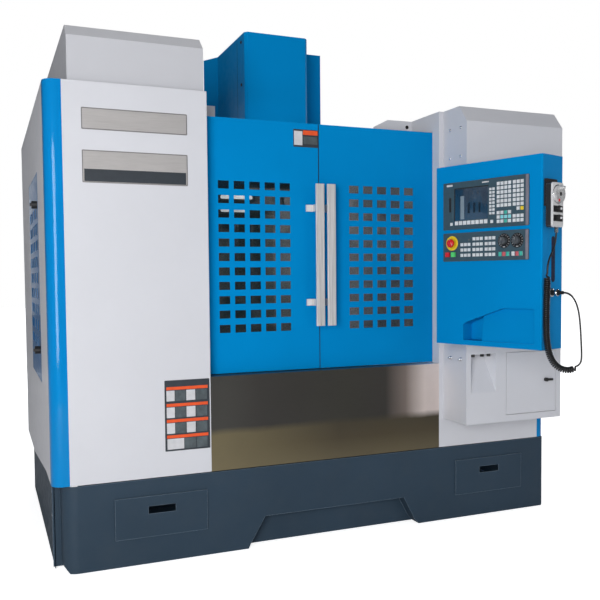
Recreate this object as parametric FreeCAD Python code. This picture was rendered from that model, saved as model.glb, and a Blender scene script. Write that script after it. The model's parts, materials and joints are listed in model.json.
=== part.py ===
import FreeCAD, Part
import math
import os

# Vertical machining center in a full sheet-metal enclosure, with a swing-out operator pendant.
# Millimetres, +Z up, front of the machine towards -Y.
# While it is built, X = 0 is the line where the two doors meet, Y = 0 is the plane of the
# front sheets and Z = 0 is the floor. Every piece is then moved by origin_shift, so that the
# finished part has its origin on the floor under the middle of the whole machine.

Vector = FreeCAD.Vector
X_AXIS = Vector(1, 0, 0)
Y_AXIS = Vector(0, 1, 0)
Z_AXIS = Vector(0, 0, 1)

# ---------------------------------------------------------------- driving dimensions
origin_shift = Vector(-8, -663, 0)

# enclosure
sheet = 3.0
left_side_x = -1167.5
right_side_x = 1201.0
left_jamb_x = -528.0
right_jamb_x = 585.0
left_strip_width = 67.5
right_strip_width = 43.0
strip_return = 66.0
strip_radius = 45.0
right_strip_radius = 30.0
panel_bottom = 355.0
panel_top = 1929.0
side_depth = 1722.0
rear_clearance = 22.0
side_low_edge = 273.0
side_slope_start_y = 300.0
side_slope_end_y = 1100.0
rear_gap_half = 262.0
jamb_depth = 57.0
cheek_depth = 253.0
left_stub_end_x = -420.0
left_stub_height = 47.0
right_stub_end_x = 375.0
right_stub_slope = Vector(78, 0, 39)

# hood over the left block
hood_front_y = 47.0
hood_side_inset = 94.5
hood_height = 237.0
hood_chamfer = 57.0
hood_chamfer_rise = 52.0
hood_back_margin = 22.0

# front skirt and base
skirt_y = 9.0
skirt_left_x = -1129.0
skirt_right_x = 1214.0
skirt_left_radius = 60.0
skirt_right_radius = 30.0
skirt_return = 92.0
skirt_gap = 6.0
skirt_joggle_depth = 34.0
corner_chamfer_width = 25.0
corner_chamfer_height = 32.0
arch_left_x = -366.0
arch_right_x = 480.0
arch_top_left_x = -288.0
arch_top_right_x = 399.0
arch_toe_height = 24.0
arch_left_toe_inset = 12.0
arch_right_toe_inset = 23.0
arch_height = 133.0
arch_depth = 66.0
base_inset = 13.5
base_front_y = 107.0
base_back_y = 1440.0
base_overlap = 45.0

# chip drawers in the skirt
left_drawer_x = -929.0
left_drawer_width = 381.0
right_drawer_x = 680.0
right_drawer_width = 384.0
drawer_bottom = 113.0
drawer_height = 168.0
drawer_front_depth = 8.0
drawer_lap = 10.0
tray_length = 368.0
tray_wall = 2.0
tray_clearance = 3.0
tray_height = 128.0
runner_width = 20.0
seat_gap = 0.3
slot_width = 112.0
slot_height = 31.0
slot_below_top = 42.0

# sliding doors
door_y = 60.0
door_sheet = 2.5
door_return = 25.0
door_top = 1842.0
sill_height = 754.0
sill_depth = 100.0
sill_gap = 3.0
door_meeting_gap = 0.75
door_overlap = 14.0
window_columns = 5
window_rows = 11
window_width = 48.5
window_height = 34.5
window_pitch_z = 61.3
window_top_z = 1578.0
left_window_x = -467.0
left_window_pitch = 69.8
right_window_x = 148.0
right_window_pitch = 71.1
pane_thickness = 6.0
pane_margin = 22.0
header_gap = 3.0

# door rail and carriages
beam_depth = 40.0
beam_height = 60.0
beam_wall = 4.0
beam_top_below_door = 10.0
rail_size = 12.0
carriage_length = 60.0
carriage_wall = 11.0
carriage_gap = 2.0
rail_stand = 40.0
slide_clearance = 0.4

# door handles
handle_width = 40.0
handle_thickness = 10.0
left_handle_from_meeting = 3.0
right_handle_from_meeting = 11.5
handle_stand = 55.0
handle_bottom = 951.0
handle_length = 622.0
handle_foot_width = 28.0
handle_foot_height = 30.0
handle_foot_inset = 88.0
handle_foot_shift = 6.0
handle_flange_reach = 66.0
handle_flange_thickness = 8.0

# hinged access doors
leaf_gap = 2.0
pivot_from_edge = 12.0
pivot_from_face = 4.0
pivot_radius = 2.5
pivot_clearance = 0.1
stile_width = 12.0
stile_depth = 9.0
bracket_height = 10.0
leaf_pin_length = 7.0
service_front_y = 420.0
service_back_y = 1060.0
service_bottom = 714.0
service_top = 1632.0
service_columns = 4
service_rows = 9
service_hole_width = 100.0
service_hole_height = 46.0
service_pitch_y = 140.0
service_pitch_z = 72.0
knob_radius = 17.0
knob_height = 24.0
knob_shaft_radius = 5.0
knob_from_edge = 36.0
knob_top_z = 1490.0
knob_bottom_z = 857.0
cam_lap = 5.0
cam_thickness = 3.0
cam_gap = 1.0

# console column and its cupboard
console_left_x = 608.0
console_right_x = 1141.0
console_depth = 189.0
console_bottom = 491.0
console_fold_z = 1854.0
console_ridge_back = 58.0
recess_x = 633.0
recess_width = 135.0
recess_bottom = 634.0
recess_height = 176.0
recess_depth = 70.0
recess_taper = 24.0
port_radius = 9.0
port_length = 14.0
port_offsets = (-42.0, 8.0, 44.0)
cupboard_x = 826.0
cupboard_width = 286.0
cupboard_bottom = 521.0
cupboard_height = 291.0
cupboard_shelf_gap = 20.0
latch_radius = 9.0
latch_height = 14.0
latch_lever = 34.0
latch_from_edge = 60.0
latch_z = 674.0

# electrical cabinet at the rear
cabinet_half_width = 450.0
cabinet_bottom = 420.0
cabinet_height = 1480.0
cabinet_depth = 360.0
cabinet_frame = 40.0

# machine inside
spindle_y = 745.0
pad_height = 60.0
pad_disc = 22.0
pad_radius = 60.0
stud_radius = 16.0
pad_x = 350.0
pad_rows = 3
bed_half_width = 420.0
bed_front_y = 262.0
bed_shoulder_z = 330.0
bed_deck_z = 500.0
bed_deck_half = 320.0
way_seat_z = 600.0
way_half_spacing = 250.0
way_width = 90.0
rail_width = 35.0
rail_height = 30.0
block_height = 42.0
block_length = 110.0
block_width = 90.0
screw_radius = 16.0
journal_radius = 10.0
journal_length = 30.0
bearing_half = 38.0
nut_half = 42.0
nut_length = 90.0
nut_clearance = 0.5
motor_size = 130.0
motor_length = 150.0
cross_motor_size = 90.0
saddle_half_length = 710.0
saddle_half_depth = 210.0
saddle_height = 126.0
saddle_trough_half = 60.0
saddle_trough_depth = 76.0
x_way_half_spacing = 150.0
y_block_half_spacing = 140.0
x_block_half_spacing = 250.0
table_half_length = 500.0
table_half_width = 250.0
table_thickness = 90.0
slot_count = 5
slot_pitch = 80.0
slot_neck = 18.0
slot_neck_depth = 18.0
slot_foot = 30.0
slot_foot_depth = 13.0
x_travel = 400.0
y_travel = 250.0
z_travel = 500.0

# column and head
column_half_width = 230.0
column_front_y = 1270.0
column_top = 2190.0
column_wall = 30.0
column_recess_half = 90.0
column_recess_depth = 90.0
z_way_half_spacing = 150.0
z_rail_bottom = 1020.0
z_rail_top = 2150.0
z_block_half_spacing = 110.0
nose_z = 1520.0
head_half_width = 130.0
head_bottom = 1600.0
head_front_drop = 60.0
head_height = 360.0
head_front = 110.0
quill_radius = 92.0
quill_length = 65.0
spindle_radius = 50.0
spindle_clearance = 0.08
spindle_nose_radius = 44.45
taper_large_radius = 22.225
taper_small_radius = 12.7
taper_length = 65.4
drawbar_radius = 8.5
spindle_motor_half = 110.0
spindle_motor_height = 380.0
cover_half_width = 168.0
cover_front_y = 572.0
cover_top = 2380.0
cover_bottom = 1640.0
cover_flare_y = 1049.0
cover_flare_x = 222.0
cover_back_y = 1143.0
cover_box_x = 350.0
cover_box_y = 826.0
cover_corner = 14.0
cover_bracket_z = 1800.0
bracket_length = 100.0
bracket_plate = 12.0

# tool carousel beside the column
carousel_x = -470.0
carousel_y = 1360.0
carousel_z = 1600.0
carousel_radius = 235.0
carousel_thickness = 30.0
hub_radius = 60.0
hub_length = 50.0
axle_radius = 25.0
pocket_count = 12
pocket_circle = 190.0
holder_radius = 31.5
holder_length = 70.0
arbor_radius = 18.0
arbor_length = 40.0

# pendant
hinge_x = 599.0
hinge_y = -194.0
hinge_radius = 7.0
hinge_pin_radius = 3.5
hinge_knuckle = 40.0
hinge_inset = 70.0
pendant_open_angle = 71.74
pendant_width = 520.0
pendant_depth = 147.0
pendant_bottom = 873.0
pendant_height = 760.0
pendant_overhang = 40.0
pendant_back_gap = 8.0
pendant_corner = 6.0
wrap_x = 44.0
wrap_width = 420.0
display_top = 1561.0
display_height = 200.0
control_top = 1347.0
control_height = 120.0
control_cutout_edge = 8.0
plate_thickness = 5.0
screen_x = 107.0
screen_z = 1400.0
screen_width = 166.0
screen_height = 130.0
screen_depth = 2.0
key_height = 1.6
key_gap = 4.4
soft_key_x = 280.5
letter_x = 317.0
letter_z = 1542.0
cursor_z = 1425.5
number_x = 392.0
key_pitch_x = 17.8
key_pitch_z = 17.5
group_xs = (136.5, 198.5, 259.5)
group_below_top = 21.5
group_pitch_x = 18.2
group_pitch_z = 22.3
group_key_height = 13.0
soft_key_z = 1522.0
soft_key_pitch_x = 15.0
soft_key_pitch_z = 14.0
low_key_pitch = 21.1
low_key_height = 16.0
low_key_gap = 4.0
round_key_size = 12.6
override_keys_below_dial = 44.0
override_key_height = 17.0
pocket_left = 146.0
pocket_bottom = 894.0
pocket_low_top = 961.0
pocket_top = 1034.0
pocket_rise_end = 344.0
pocket_right = 487.0
pocket_deep_end = 237.0
pocket_deep = 60.0
pocket_shallow = 24.0
pocket_toe = 6.0
side_slot_s = 79.0
side_slot_width = 18.0
side_slot_bottom = 1139.0
side_slot_length = 158.0

# operator controls
stop_x = 92.0
stop_z = 1304.0
stop_cap_radius = 20.0
stop_ring_radius = 31.0
stop_ring_height = 1.0
stop_cap_height = 16.0
stop_stem_radius = 11.0
stop_travel = 6.0
push_red_x = 72.0
push_green_x = 103.0
push_z = 1256.0
push_half = 10.0
push_stem_half = 6.0
push_height = 7.0
push_travel = 3.0
stem_length = 24.0
stem_clearance = 0.1
feed_dial_x = 351.5
speed_dial_x = 412.5
dial_z = 1304.5
dial_radius = 15.0
dial_height = 16.0
dial_shaft_radius = 4.0

# handwheel unit on the pendant's end face
holder_s = 48.5
holder_width = 74.0
holder_bottom = 1433.0
holder_height = 104.0
holder_thickness = 12.0
unit_s = 42.5
unit_width = 74.0
unit_bottom = 1350.0
unit_height = 170.0
unit_thickness = 30.0
wheel_s = 40.0
wheel_z = 1475.0
wheel_radius = 33.0
wheel_thickness = 12.0
wheel_gap = 1.0
crank_radius = 6.0
crank_length = 22.0
crank_offset = 23.0
selector_radius = 13.0
selector_height = 13.0
axis_selector_z = 1419.0
step_selector_z = 1384.0

# cord of the handwheel unit
lead_diameter = 7.0
coil_diameter = 27.0
cord_sides = 6
coil_sides = 8
plug_s = 67.0
plug_z = 1097.0
plug_radius = 11.0
plug_length = 52.0
plug_neck = 18.0
plug_flange = 16.0
plug_flange_thickness = 4.0
gland_radius = 7.0
gland_length = 20.0
# The routes are in the pendant's own directions: s back along its end face, distance out of
# that face, and height. They run from the handwheel unit to the plug.
lead_route = [
    (55, 27, 1330), (54, 26.5, 1308), (49, 25, 1282), (38, 22.5, 1258), (24, 19.5, 1236),
    (13, 19.4, 1214), (8.4, 19.1, 1194), (8, 19, 1175),
]
coil_route = [
    (8, 19, 1175), (7, 18.5, 1120), (5.5, 17.5, 1050), (5, 17, 970), (7, 19, 905), (14, 28, 850),
    (26, 45, 816), (43, 70, 800), (57, 90.5, 800), (67, 106, 808), (72.8, 115, 820),
]
tail_route = [
    (72.8, 115, 820), (77, 121.5, 829), (78.8, 124, 845), (79, 124, 871), (78, 122, 912),
    (76.5, 120, 960), (75, 116, 1008), (73, 109, 1044), (70.5, 98, 1071), (68.5, 83, 1089),
    (67, 66, 1097), (67, 52, 1097),
]


# ---------------------------------------------------------------- helpers
def box(x0, x1, y0, y1, z0, z1):
    return Part.makeBox(x1 - x0, y1 - y0, z1 - z0, Vector(x0, y0, z0))


def rod(start, axis, radius, length):
    return Part.makeCylinder(radius, length, start, axis)


def flat_sided(start, axis, radius, length, sides):
    """A bar of that many flat sides, with its corners on the radius."""
    face = Part.Face(ring(start, axis, radius, sides))
    return face.extrude(axis * length)


def ring(centre, axis, radius, sides):
    """A closed polygon of that many sides, square to axis."""
    turn = FreeCAD.Rotation(Z_AXIS, axis)
    points = []
    for index in range(sides + 1):
        angle = 2 * math.pi * (index + 0.5) / sides
        spoke = Vector(radius * math.cos(angle), radius * math.sin(angle), 0)
        points.append(centre + turn.multVec(spoke))
    return Part.makePolygon(points)


def prism(points, direction):
    """A straight prism over a flat outline of points."""
    wire = Part.makePolygon(points + [points[0]])
    return Part.Face(wire).extrude(direction)


def outline_xz(pairs, y0, y1):
    return prism([Vector(x, y0, z) for x, z in pairs], Vector(0, y1 - y0, 0))


def outline_yz(pairs, x0, x1):
    return prism([Vector(x0, y, z) for y, z in pairs], Vector(x1 - x0, 0, 0))


def outline_xy(pairs, z0, z1):
    return prism([Vector(x, y, z0) for x, y in pairs], Vector(0, 0, z1 - z0))


def revolve(pairs, centre, axis):
    """A turned piece from its (radius, height) outline about an upright axis, laid along axis."""
    wire = Part.makePolygon([Vector(r, 0, h) for r, h in pairs + [pairs[0]]])
    solid = Part.Face(wire).revolve(Vector(0, 0, 0), Z_AXIS, 360)
    solid.Placement = FreeCAD.Placement(centre, FreeCAD.Rotation(Z_AXIS, axis))
    return solid


def fuse(*shapes):
    whole = shapes[0]
    for shape in shapes[1:]:
        whole = whole.fuse(shape)
    return whole.removeSplitter()


def cut(shape, *tools):
    for tool in tools:
        shape = shape.cut(tool)
    return shape


def group(*shapes):
    return Part.makeCompound(list(shapes))


def tube(outer, inner):
    return outer.cut(inner)


overall = FreeCAD.BoundBox()
cord_nodes = ("handwheel_lead", "handwheel_coil", "handwheel_tail", "cord_plug")


def save(name, shape):
    """Writes one named piece, moved into the finished part's frame."""
    moved = shape.copy()
    moved.translate(origin_shift)
    if not moved.isValid():
        print("not valid:", name)
    moved.exportStep("parts/" + name + ".step")
    if name not in cord_nodes:
        overall.add(moved.BoundBox)


def windows(x0, pitch_x, columns, width, top_z, pitch_z, rows, height, y0, y1):
    """The grid of window openings of one door, as a list of cutters."""
    cutters = []
    for column in range(columns):
        left = x0 + column * pitch_x
        for row in range(rows):
            top = top_z - row * pitch_z
            cutters.append(box(left, left + width, y0, y1, top - height, top))
    return cutters


# ---------------------------------------------------------------- hinged access door
def access_door(width, z0, z1, wall):
    """A flush sheet door in an opening of a wall, in local axes: the opening runs from x = 0
    to width, the wall's outer face is y = 0 with the inside towards +y, and the pivot stands
    near x = 0. Returns the opening's cutter, the brackets behind the wall, the holes for the
    pins, and the leaf."""
    pivot = Vector(pivot_from_edge, pivot_from_face, 0)
    opening = box(0, width, -1, wall + 1, z0, z1)
    bracket_x0 = pivot.x - stile_width / 2
    bracket_x1 = pivot.x + stile_width / 2
    low = box(bracket_x0, bracket_x1, wall, wall + stile_depth, z0 - bracket_height, z0)
    high = box(bracket_x0, bracket_x1, wall, wall + stile_depth, z1, z1 + bracket_height)
    hole_radius = pivot_radius + pivot_clearance
    holes = rod(Vector(pivot.x, pivot.y, z0 - bracket_height), Z_AXIS, hole_radius,
                z1 - z0 + 2 * bracket_height)
    leaf = box(leaf_gap, width - leaf_gap, 0, wall, z0 + leaf_gap, z1 - leaf_gap)
    stile = box(leaf_gap, leaf_gap + stile_width, 0, stile_depth, z0 + leaf_gap, z1 - leaf_gap)
    pins = rod(Vector(pivot.x, pivot.y, z0 - leaf_pin_length), Z_AXIS, pivot_radius,
               z1 - z0 + 2 * leaf_pin_length)
    return opening, low, high, holes, fuse(leaf, stile, pins)


def place_on_left_side(shape):
    """Local door axes onto the left side: the pivot edge at the rear, the outside to -X."""
    moved = shape.copy()
    moved.rotate(Vector(0, 0, 0), Z_AXIS, -90)
    moved.translate(Vector(left_side_x, service_back_y, 0))
    return moved


def place_on_console(shape):
    moved = shape.copy()
    moved.translate(Vector(cupboard_x, -console_depth, 0))
    return moved


def place_on_cabinet(shape):
    moved = shape.copy()
    moved.rotate(Vector(0, 0, 0), Z_AXIS, 180)
    moved.translate(Vector(cabinet_half_width - cabinet_frame, side_depth + cabinet_depth, 0))
    return moved


def turn_knob(shaft_to, cam_drop):
    """A quarter-turn knob: grip outside, shaft through the leaf, cam on its inner end. Local
    axes as access_door, with the shaft on y through the origin and the cam hanging down,
    which is its open place."""
    grip = flat_sided(Vector(0, -seat_gap - knob_height, 0), Y_AXIS, knob_radius, knob_height, 12)
    bar = box(-knob_radius, knob_radius, -seat_gap - knob_height - 6, -seat_gap - knob_height,
              -knob_radius / 3, knob_radius / 3)
    shaft = rod(Vector(0, -seat_gap, 0), Y_AXIS, knob_shaft_radius, seat_gap + shaft_to)
    cam = box(-knob_shaft_radius, knob_shaft_radius, shaft_to - cam_thickness, shaft_to,
              -cam_drop, knob_shaft_radius)
    return fuse(grip, bar, shaft, cam)


# ---------------------------------------------------------------- bed, column, ways
def bed_casting():
    profile = [
        (-bed_half_width, pad_height), (bed_half_width, pad_height),
        (bed_half_width, bed_shoulder_z), (bed_deck_half, bed_deck_z),
        (-bed_deck_half, bed_deck_z), (-bed_half_width, bed_shoulder_z),
    ]
    body = outline_xz(profile, bed_front_y, bed_back_y)
    ways = []
    for side in (-1, 1):
        centre = side * way_half_spacing
        ways.append(box(centre - way_width / 2, centre + way_width / 2, bed_front_y,
                        column_front_y, bed_deck_z - 1, way_seat_z))
    seat = box(-column_half_width, column_half_width, column_front_y, bed_back_y,
               bed_deck_z - 1, way_seat_z)
    casting = fuse(body, *ways, seat)
    bearings = []
    for y0 in (bed_front_y, column_front_y - journal_length):
        bearings.append(box(-bearing_half, bearing_half, y0, y0 + journal_length,
                            bed_deck_z - 1, y_screw_z + bearing_half))
    casting = fuse(casting, *bearings)
    bore = rod(Vector(0, bed_front_y - 1, y_screw_z), Y_AXIS, journal_radius + pivot_clearance,
               column_front_y - bed_front_y + 2)
    hole_clear = box(-bearing_half, bearing_half, bed_front_y + journal_length,
                     column_front_y - journal_length, bed_deck_z, way_seat_z)
    return casting.cut(bore).cut(hole_clear)


def pad_places():
    """Centres of the levelling pads, along both long edges of the bed."""
    span = bed_back_y - bed_front_y - 2 * pad_radius
    places = []
    for row in range(pad_rows):
        y = bed_front_y + pad_radius + span * row / (pad_rows - 1)
        for side in (-1, 1):
            places.append(Vector(side * pad_x, y, 0))
    return places


def levelling_pads():
    pads = []
    for place in pad_places():
        disc = rod(place, Z_AXIS, pad_radius, pad_disc)
        pads.append(fuse(disc, flat_sided(place, Z_AXIS, stud_radius, pad_height, 6)))
    return group(*pads)


def guide_rails():
    rails = []
    for side in (-1, 1):
        centre = side * way_half_spacing
        rails.append(box(centre - rail_width / 2, centre + rail_width / 2, bed_front_y + 28,
                         column_front_y, way_seat_z, way_seat_z + rail_height))
    for side in (-1, 1):
        centre = side * z_way_half_spacing
        rails.append(box(centre - rail_width / 2, centre + rail_width / 2,
                         column_front_y - rail_height, column_front_y, z_rail_bottom, z_rail_top))
    return group(*rails)


def column_casting():
    w = column_half_width
    body = box(-w, w, column_front_y, bed_back_y, way_seat_z, column_top)
    hollow = box(-w + column_wall, w - column_wall,
                 column_front_y + column_recess_depth + column_wall, bed_back_y - column_wall,
                 way_seat_z + column_wall, column_top - column_wall)
    recess = box(-column_recess_half, column_recess_half, column_front_y - 1,
                 column_front_y + column_recess_depth, way_seat_z + 2 * column_wall,
                 column_top + 1)
    body = body.cut(hollow).cut(recess)
    bearings = []
    for z0 in (z_rail_bottom, column_top - journal_length):
        bearings.append(box(-bearing_half, bearing_half, z_screw_y - bearing_half,
                            column_front_y + column_recess_depth + 1, z0, z0 + journal_length))
    bore = rod(Vector(0, z_screw_y, z_rail_bottom - 1), Z_AXIS, journal_radius + pivot_clearance,
               column_top - z_rail_bottom + 2)
    arm_z = carousel_z
    arm = box(carousel_x + carousel_thickness / 2 + hub_length + seat_gap, -w + 1,
              carousel_y - hub_radius, carousel_y + hub_radius, arm_z - hub_radius,
              arm_z + hub_radius)
    axle = rod(Vector(carousel_x - carousel_thickness / 2 - hub_length, carousel_y, carousel_z),
               X_AXIS, axle_radius, carousel_thickness + 2 * hub_length + seat_gap + 1)
    return fuse(body.fuse(bearings[0]).fuse(bearings[1]).cut(bore), arm, axle)


def ball_screw(start, axis, length, journal_gap):
    """A screw between two journals: start and axis give its lower bearing's outer face."""
    inset = journal_length + journal_gap
    shaft = flat_sided(start + axis * inset, axis, screw_radius, length - 2 * inset, 16)
    return fuse(shaft, rod(start, axis, journal_radius, length))


def motor(x0, x1, y0, y1, z0, z1, axis):
    """A square servo motor with a narrower end bell on its far side."""
    body = box(x0, x1, y0, y1, z0, z1)
    edges = [e for e in body.Edges if abs(e.Curve.Direction.dot(axis)) > 0.99]
    return body.makeChamfer(12, edges)


def drive_motors():
    half = motor_size / 2
    y_motor = motor(-half, half, bed_front_y - motor_length, bed_front_y,
                    y_screw_z - half, y_screw_z + half, Y_AXIS)
    z_motor = motor(-half, half, z_screw_y - half, z_screw_y + half,
                    column_top, column_top + motor_length, Z_AXIS)
    return group(y_motor, z_motor)


def carriage(centre, axis_name, seat):
    """A bearing block over a rail of the ways; the rail's groove is cut with clearance."""
    half_len = block_length / 2
    half_wid = block_width / 2
    groove = rail_width / 2 + slide_clearance
    lift = rail_height + slide_clearance
    x, y = centre
    if axis_name == "y":
        body = box(x - half_wid, x + half_wid, y - half_len, y + half_len, seat + 4,
                   seat + block_height)
        slot = box(x - groove, x + groove, y - half_len - 1, y + half_len + 1, seat, seat + lift)
    else:
        body = box(x - half_len, x + half_len, y - half_wid, y + half_wid, seat + 4,
                   seat + block_height)
        slot = box(x - half_len - 1, x + half_len + 1, y - groove, y + groove, seat, seat + lift)
    return body.cut(slot)


def saddle():
    bottom = way_seat_z + block_height
    top = saddle_top
    body = box(-saddle_half_length, saddle_half_length, spindle_y - saddle_half_depth,
               spindle_y + saddle_half_depth, bottom, top)
    outer = way_half_spacing + block_width
    for side in (-1, 1):
        x0 = side * outer
        x1 = side * (saddle_half_length + 1)
        wedge = [(x0, bottom - 1), (x1, bottom - 1), (x1, top - 50)]
        body = body.cut(outline_xz(wedge, spindle_y - saddle_half_depth - 1,
                                   spindle_y + saddle_half_depth + 1))
    trough = box(-saddle_half_length + journal_length, saddle_half_length - journal_length,
                 spindle_y - saddle_trough_half, spindle_y + saddle_trough_half,
                 top - saddle_trough_depth, top + 1)
    bore = rod(Vector(-saddle_half_length - 1, spindle_y, x_screw_z), X_AXIS,
               journal_radius + pivot_clearance, 2 * saddle_half_length + 2)
    body = body.cut(trough).cut(bore)
    nut = box(-nut_half, nut_half, spindle_y - nut_length / 2, spindle_y + nut_length / 2,
              y_screw_z - nut_half + 10, bottom)
    nut_bore = rod(Vector(0, spindle_y - nut_length, y_screw_z), Y_AXIS,
                   screw_radius + nut_clearance, 2 * nut_length)
    body = fuse(body, nut).cut(nut_bore)
    blocks = []
    for side in (-1, 1):
        for end in (-1, 1):
            place = (side * way_half_spacing, spindle_y + end * y_block_half_spacing)
            blocks.append(carriage(place, "y", way_seat_z))
    rails = []
    for side in (-1, 1):
        y = spindle_y + side * x_way_half_spacing
        rails.append(box(-saddle_half_length, saddle_half_length, y - rail_width / 2,
                         y + rail_width / 2, top, top + rail_height))
    half = cross_motor_size / 2
    drive = motor(saddle_half_length, saddle_half_length + motor_length, spindle_y - half,
                  spindle_y + half, x_screw_z - half, x_screw_z + half, X_AXIS)
    return group(body, *blocks, *rails, drive)


def land_strips(slot_width, z0, z1):
    """The strips of the table's top that stand between slots of one width, over one height."""
    edges = [spindle_y - table_half_width]
    for index in range(slot_count):
        y = spindle_y + (index - (slot_count - 1) / 2) * slot_pitch
        edges += [y - slot_width / 2, y + slot_width / 2]
    edges.append(spindle_y + table_half_width)
    return [box(-table_half_length, table_half_length, a, b, z0, z1)
            for a, b in zip(edges[::2], edges[1::2])]


def table():
    """The table: a slab, and on it the lands that leave the T-slots open, each in two heights,
    the lower one as wide as the slots' feet allow and the upper one as their necks do."""
    bottom = saddle_top + block_height
    foot_top = table_top - slot_neck_depth
    foot_bottom = foot_top - slot_foot_depth
    slab = box(-table_half_length, table_half_length, spindle_y - table_half_width,
               spindle_y + table_half_width, bottom, foot_bottom)
    lands = land_strips(slot_foot, foot_bottom, foot_top)
    lands += land_strips(slot_neck, foot_top, table_top)
    nut = box(-nut_length / 2, nut_length / 2, spindle_y - nut_half, spindle_y + nut_half,
              x_screw_z - nut_half + 10, bottom)
    nut_bore = rod(Vector(-nut_length, spindle_y, x_screw_z), X_AXIS,
                   screw_radius + nut_clearance, 2 * nut_length)
    slab = fuse(slab, nut).cut(nut_bore)
    blocks = []
    for side in (-1, 1):
        for end in (-1, 1):
            place = (end * x_block_half_spacing, spindle_y + side * x_way_half_spacing)
            blocks.append(carriage(place, "x", saddle_top))
    return group(slab, *lands, *blocks)


# ---------------------------------------------------------------- head
def head_casting():
    w = head_half_width
    top = head_bottom + head_height
    face = column_front_y - rail_height - slide_clearance
    front = spindle_y - head_front
    profile = [(face - 12, head_bottom - head_front_drop), (face - 12, top),
               (face - 240, top), (spindle_y + spindle_motor_half + 10, top - head_front_drop),
               (front, top - head_front_drop),
               (front, head_bottom), (face - 330, head_bottom),
               (face - 200, head_bottom - head_front_drop)]
    body = outline_yz(profile, -w, w)
    slide = box(-w - 90, w + 90, face - 60, face - 12, head_bottom - head_front_drop, top)
    quill = rod(Vector(0, spindle_y, head_bottom - quill_length), Z_AXIS, quill_radius,
                quill_length + 10)
    nut = box(-nut_half, nut_half, face - 13, z_screw_y + nut_half,
              head_bottom + 100, head_bottom + 100 + nut_length)
    casting = fuse(body, slide, quill, nut)
    bore = rod(Vector(0, spindle_y, head_bottom - quill_length - 1), Z_AXIS,
               spindle_radius + spindle_clearance, head_height + quill_length + 2)
    nut_bore = rod(Vector(0, z_screw_y, head_bottom), Z_AXIS, screw_radius + nut_clearance,
                   3 * nut_length)
    casting = casting.cut(bore).cut(nut_bore)
    blocks = []
    middle = head_bottom + (head_height - head_front_drop) / 2
    for side in (-1, 1):
        for end in (-1, 1):
            x = side * z_way_half_spacing
            z = middle + end * z_block_half_spacing
            groove = rail_width / 2 + slide_clearance
            block = box(x - block_width / 2, x + block_width / 2, face - 12,
                        column_front_y - 4, z - block_length / 2, z + block_length / 2)
            slot = box(x - groove, x + groove, face, column_front_y, z - block_length,
                       z + block_length)
            blocks.append(block.cut(slot))
    return group(casting, *blocks)


def spindle():
    top = head_bottom + head_height - head_front_drop - 20
    flange = head_bottom - quill_length
    r = spindle_radius
    t = taper_length
    profile = [
        (taper_large_radius, nose_z), (spindle_nose_radius, nose_z),
        (spindle_nose_radius, flange - seat_gap), (r, flange - seat_gap), (r, top),
        (drawbar_radius, top),
        (drawbar_radius, nose_z + t), (taper_small_radius, nose_z + t),
    ]
    return revolve(profile, Vector(0, spindle_y, 0), Z_AXIS)


def spindle_motor():
    half = spindle_motor_half
    top = head_bottom + head_height - head_front_drop
    body = motor(-half, half, spindle_y - half, spindle_y + half, top, top + spindle_motor_height,
                 Z_AXIS)
    fan = rod(Vector(0, spindle_y, top + spindle_motor_height), Z_AXIS, half - 15, 40)
    return fuse(body, fan)


def head_cover():
    def plan(inset, back):
        w = cover_half_width - inset
        c = cover_corner
        flare = inset * 0.6
        return [
            (-w + c, cover_front_y + inset), (w - c, cover_front_y + inset),
            (w, cover_front_y + inset + c), (w, cover_box_y + inset),
            (cover_box_x - inset, cover_box_y + inset), (cover_box_x - inset, back),
            (-cover_flare_x + inset + flare, back), (-w - flare, cover_flare_y + inset / 3),
            (-w, cover_flare_y - 40), (-w, cover_front_y + inset + c),
        ]
    outer = outline_xy(plan(0, cover_back_y), cover_bottom, cover_top)
    inner = outline_xy(plan(sheet, cover_back_y + 1), cover_bottom - 1, cover_top - sheet)
    brackets = []
    for side in (-1, 1):
        a, b = sorted((side * head_half_width, side * (cover_half_width - sheet / 2)))
        brackets.append(box(a, b, spindle_y, spindle_y + bracket_length,
                            cover_bracket_z, cover_bracket_z + bracket_plate))
    return fuse(outer.cut(inner), *brackets)


# ---------------------------------------------------------------- tool carousel
def tool_carousel():
    r = axle_radius + pivot_clearance
    t = carousel_thickness / 2
    half_length = t + hub_length
    disc_start = Vector(carousel_x - t, carousel_y, carousel_z)
    hub_start = Vector(carousel_x - half_length, carousel_y, carousel_z)
    disc = flat_sided(disc_start, X_AXIS, carousel_radius, 2 * t, 24)
    hub = flat_sided(hub_start, X_AXIS, hub_radius, 2 * half_length, 16)
    bore = rod(hub_start - X_AXIS, X_AXIS, r, 2 * half_length + 2)
    disc = disc.fuse(hub).cut(bore)
    for index in range(pocket_count):
        angle = 2 * math.pi * index / pocket_count
        y = carousel_y + pocket_circle * math.cos(angle)
        z = carousel_z + pocket_circle * math.sin(angle)
        place = Vector(carousel_x - t - holder_length, y, z)
        disc = disc.fuse(flat_sided(place, X_AXIS, holder_radius, holder_length + 1, 8))
        if index % 2 == 0:
            place = Vector(place.x - arbor_length, y, z)
            disc = disc.fuse(flat_sided(place, X_AXIS, arbor_radius, arbor_length + 1, 6))
    return disc


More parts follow.
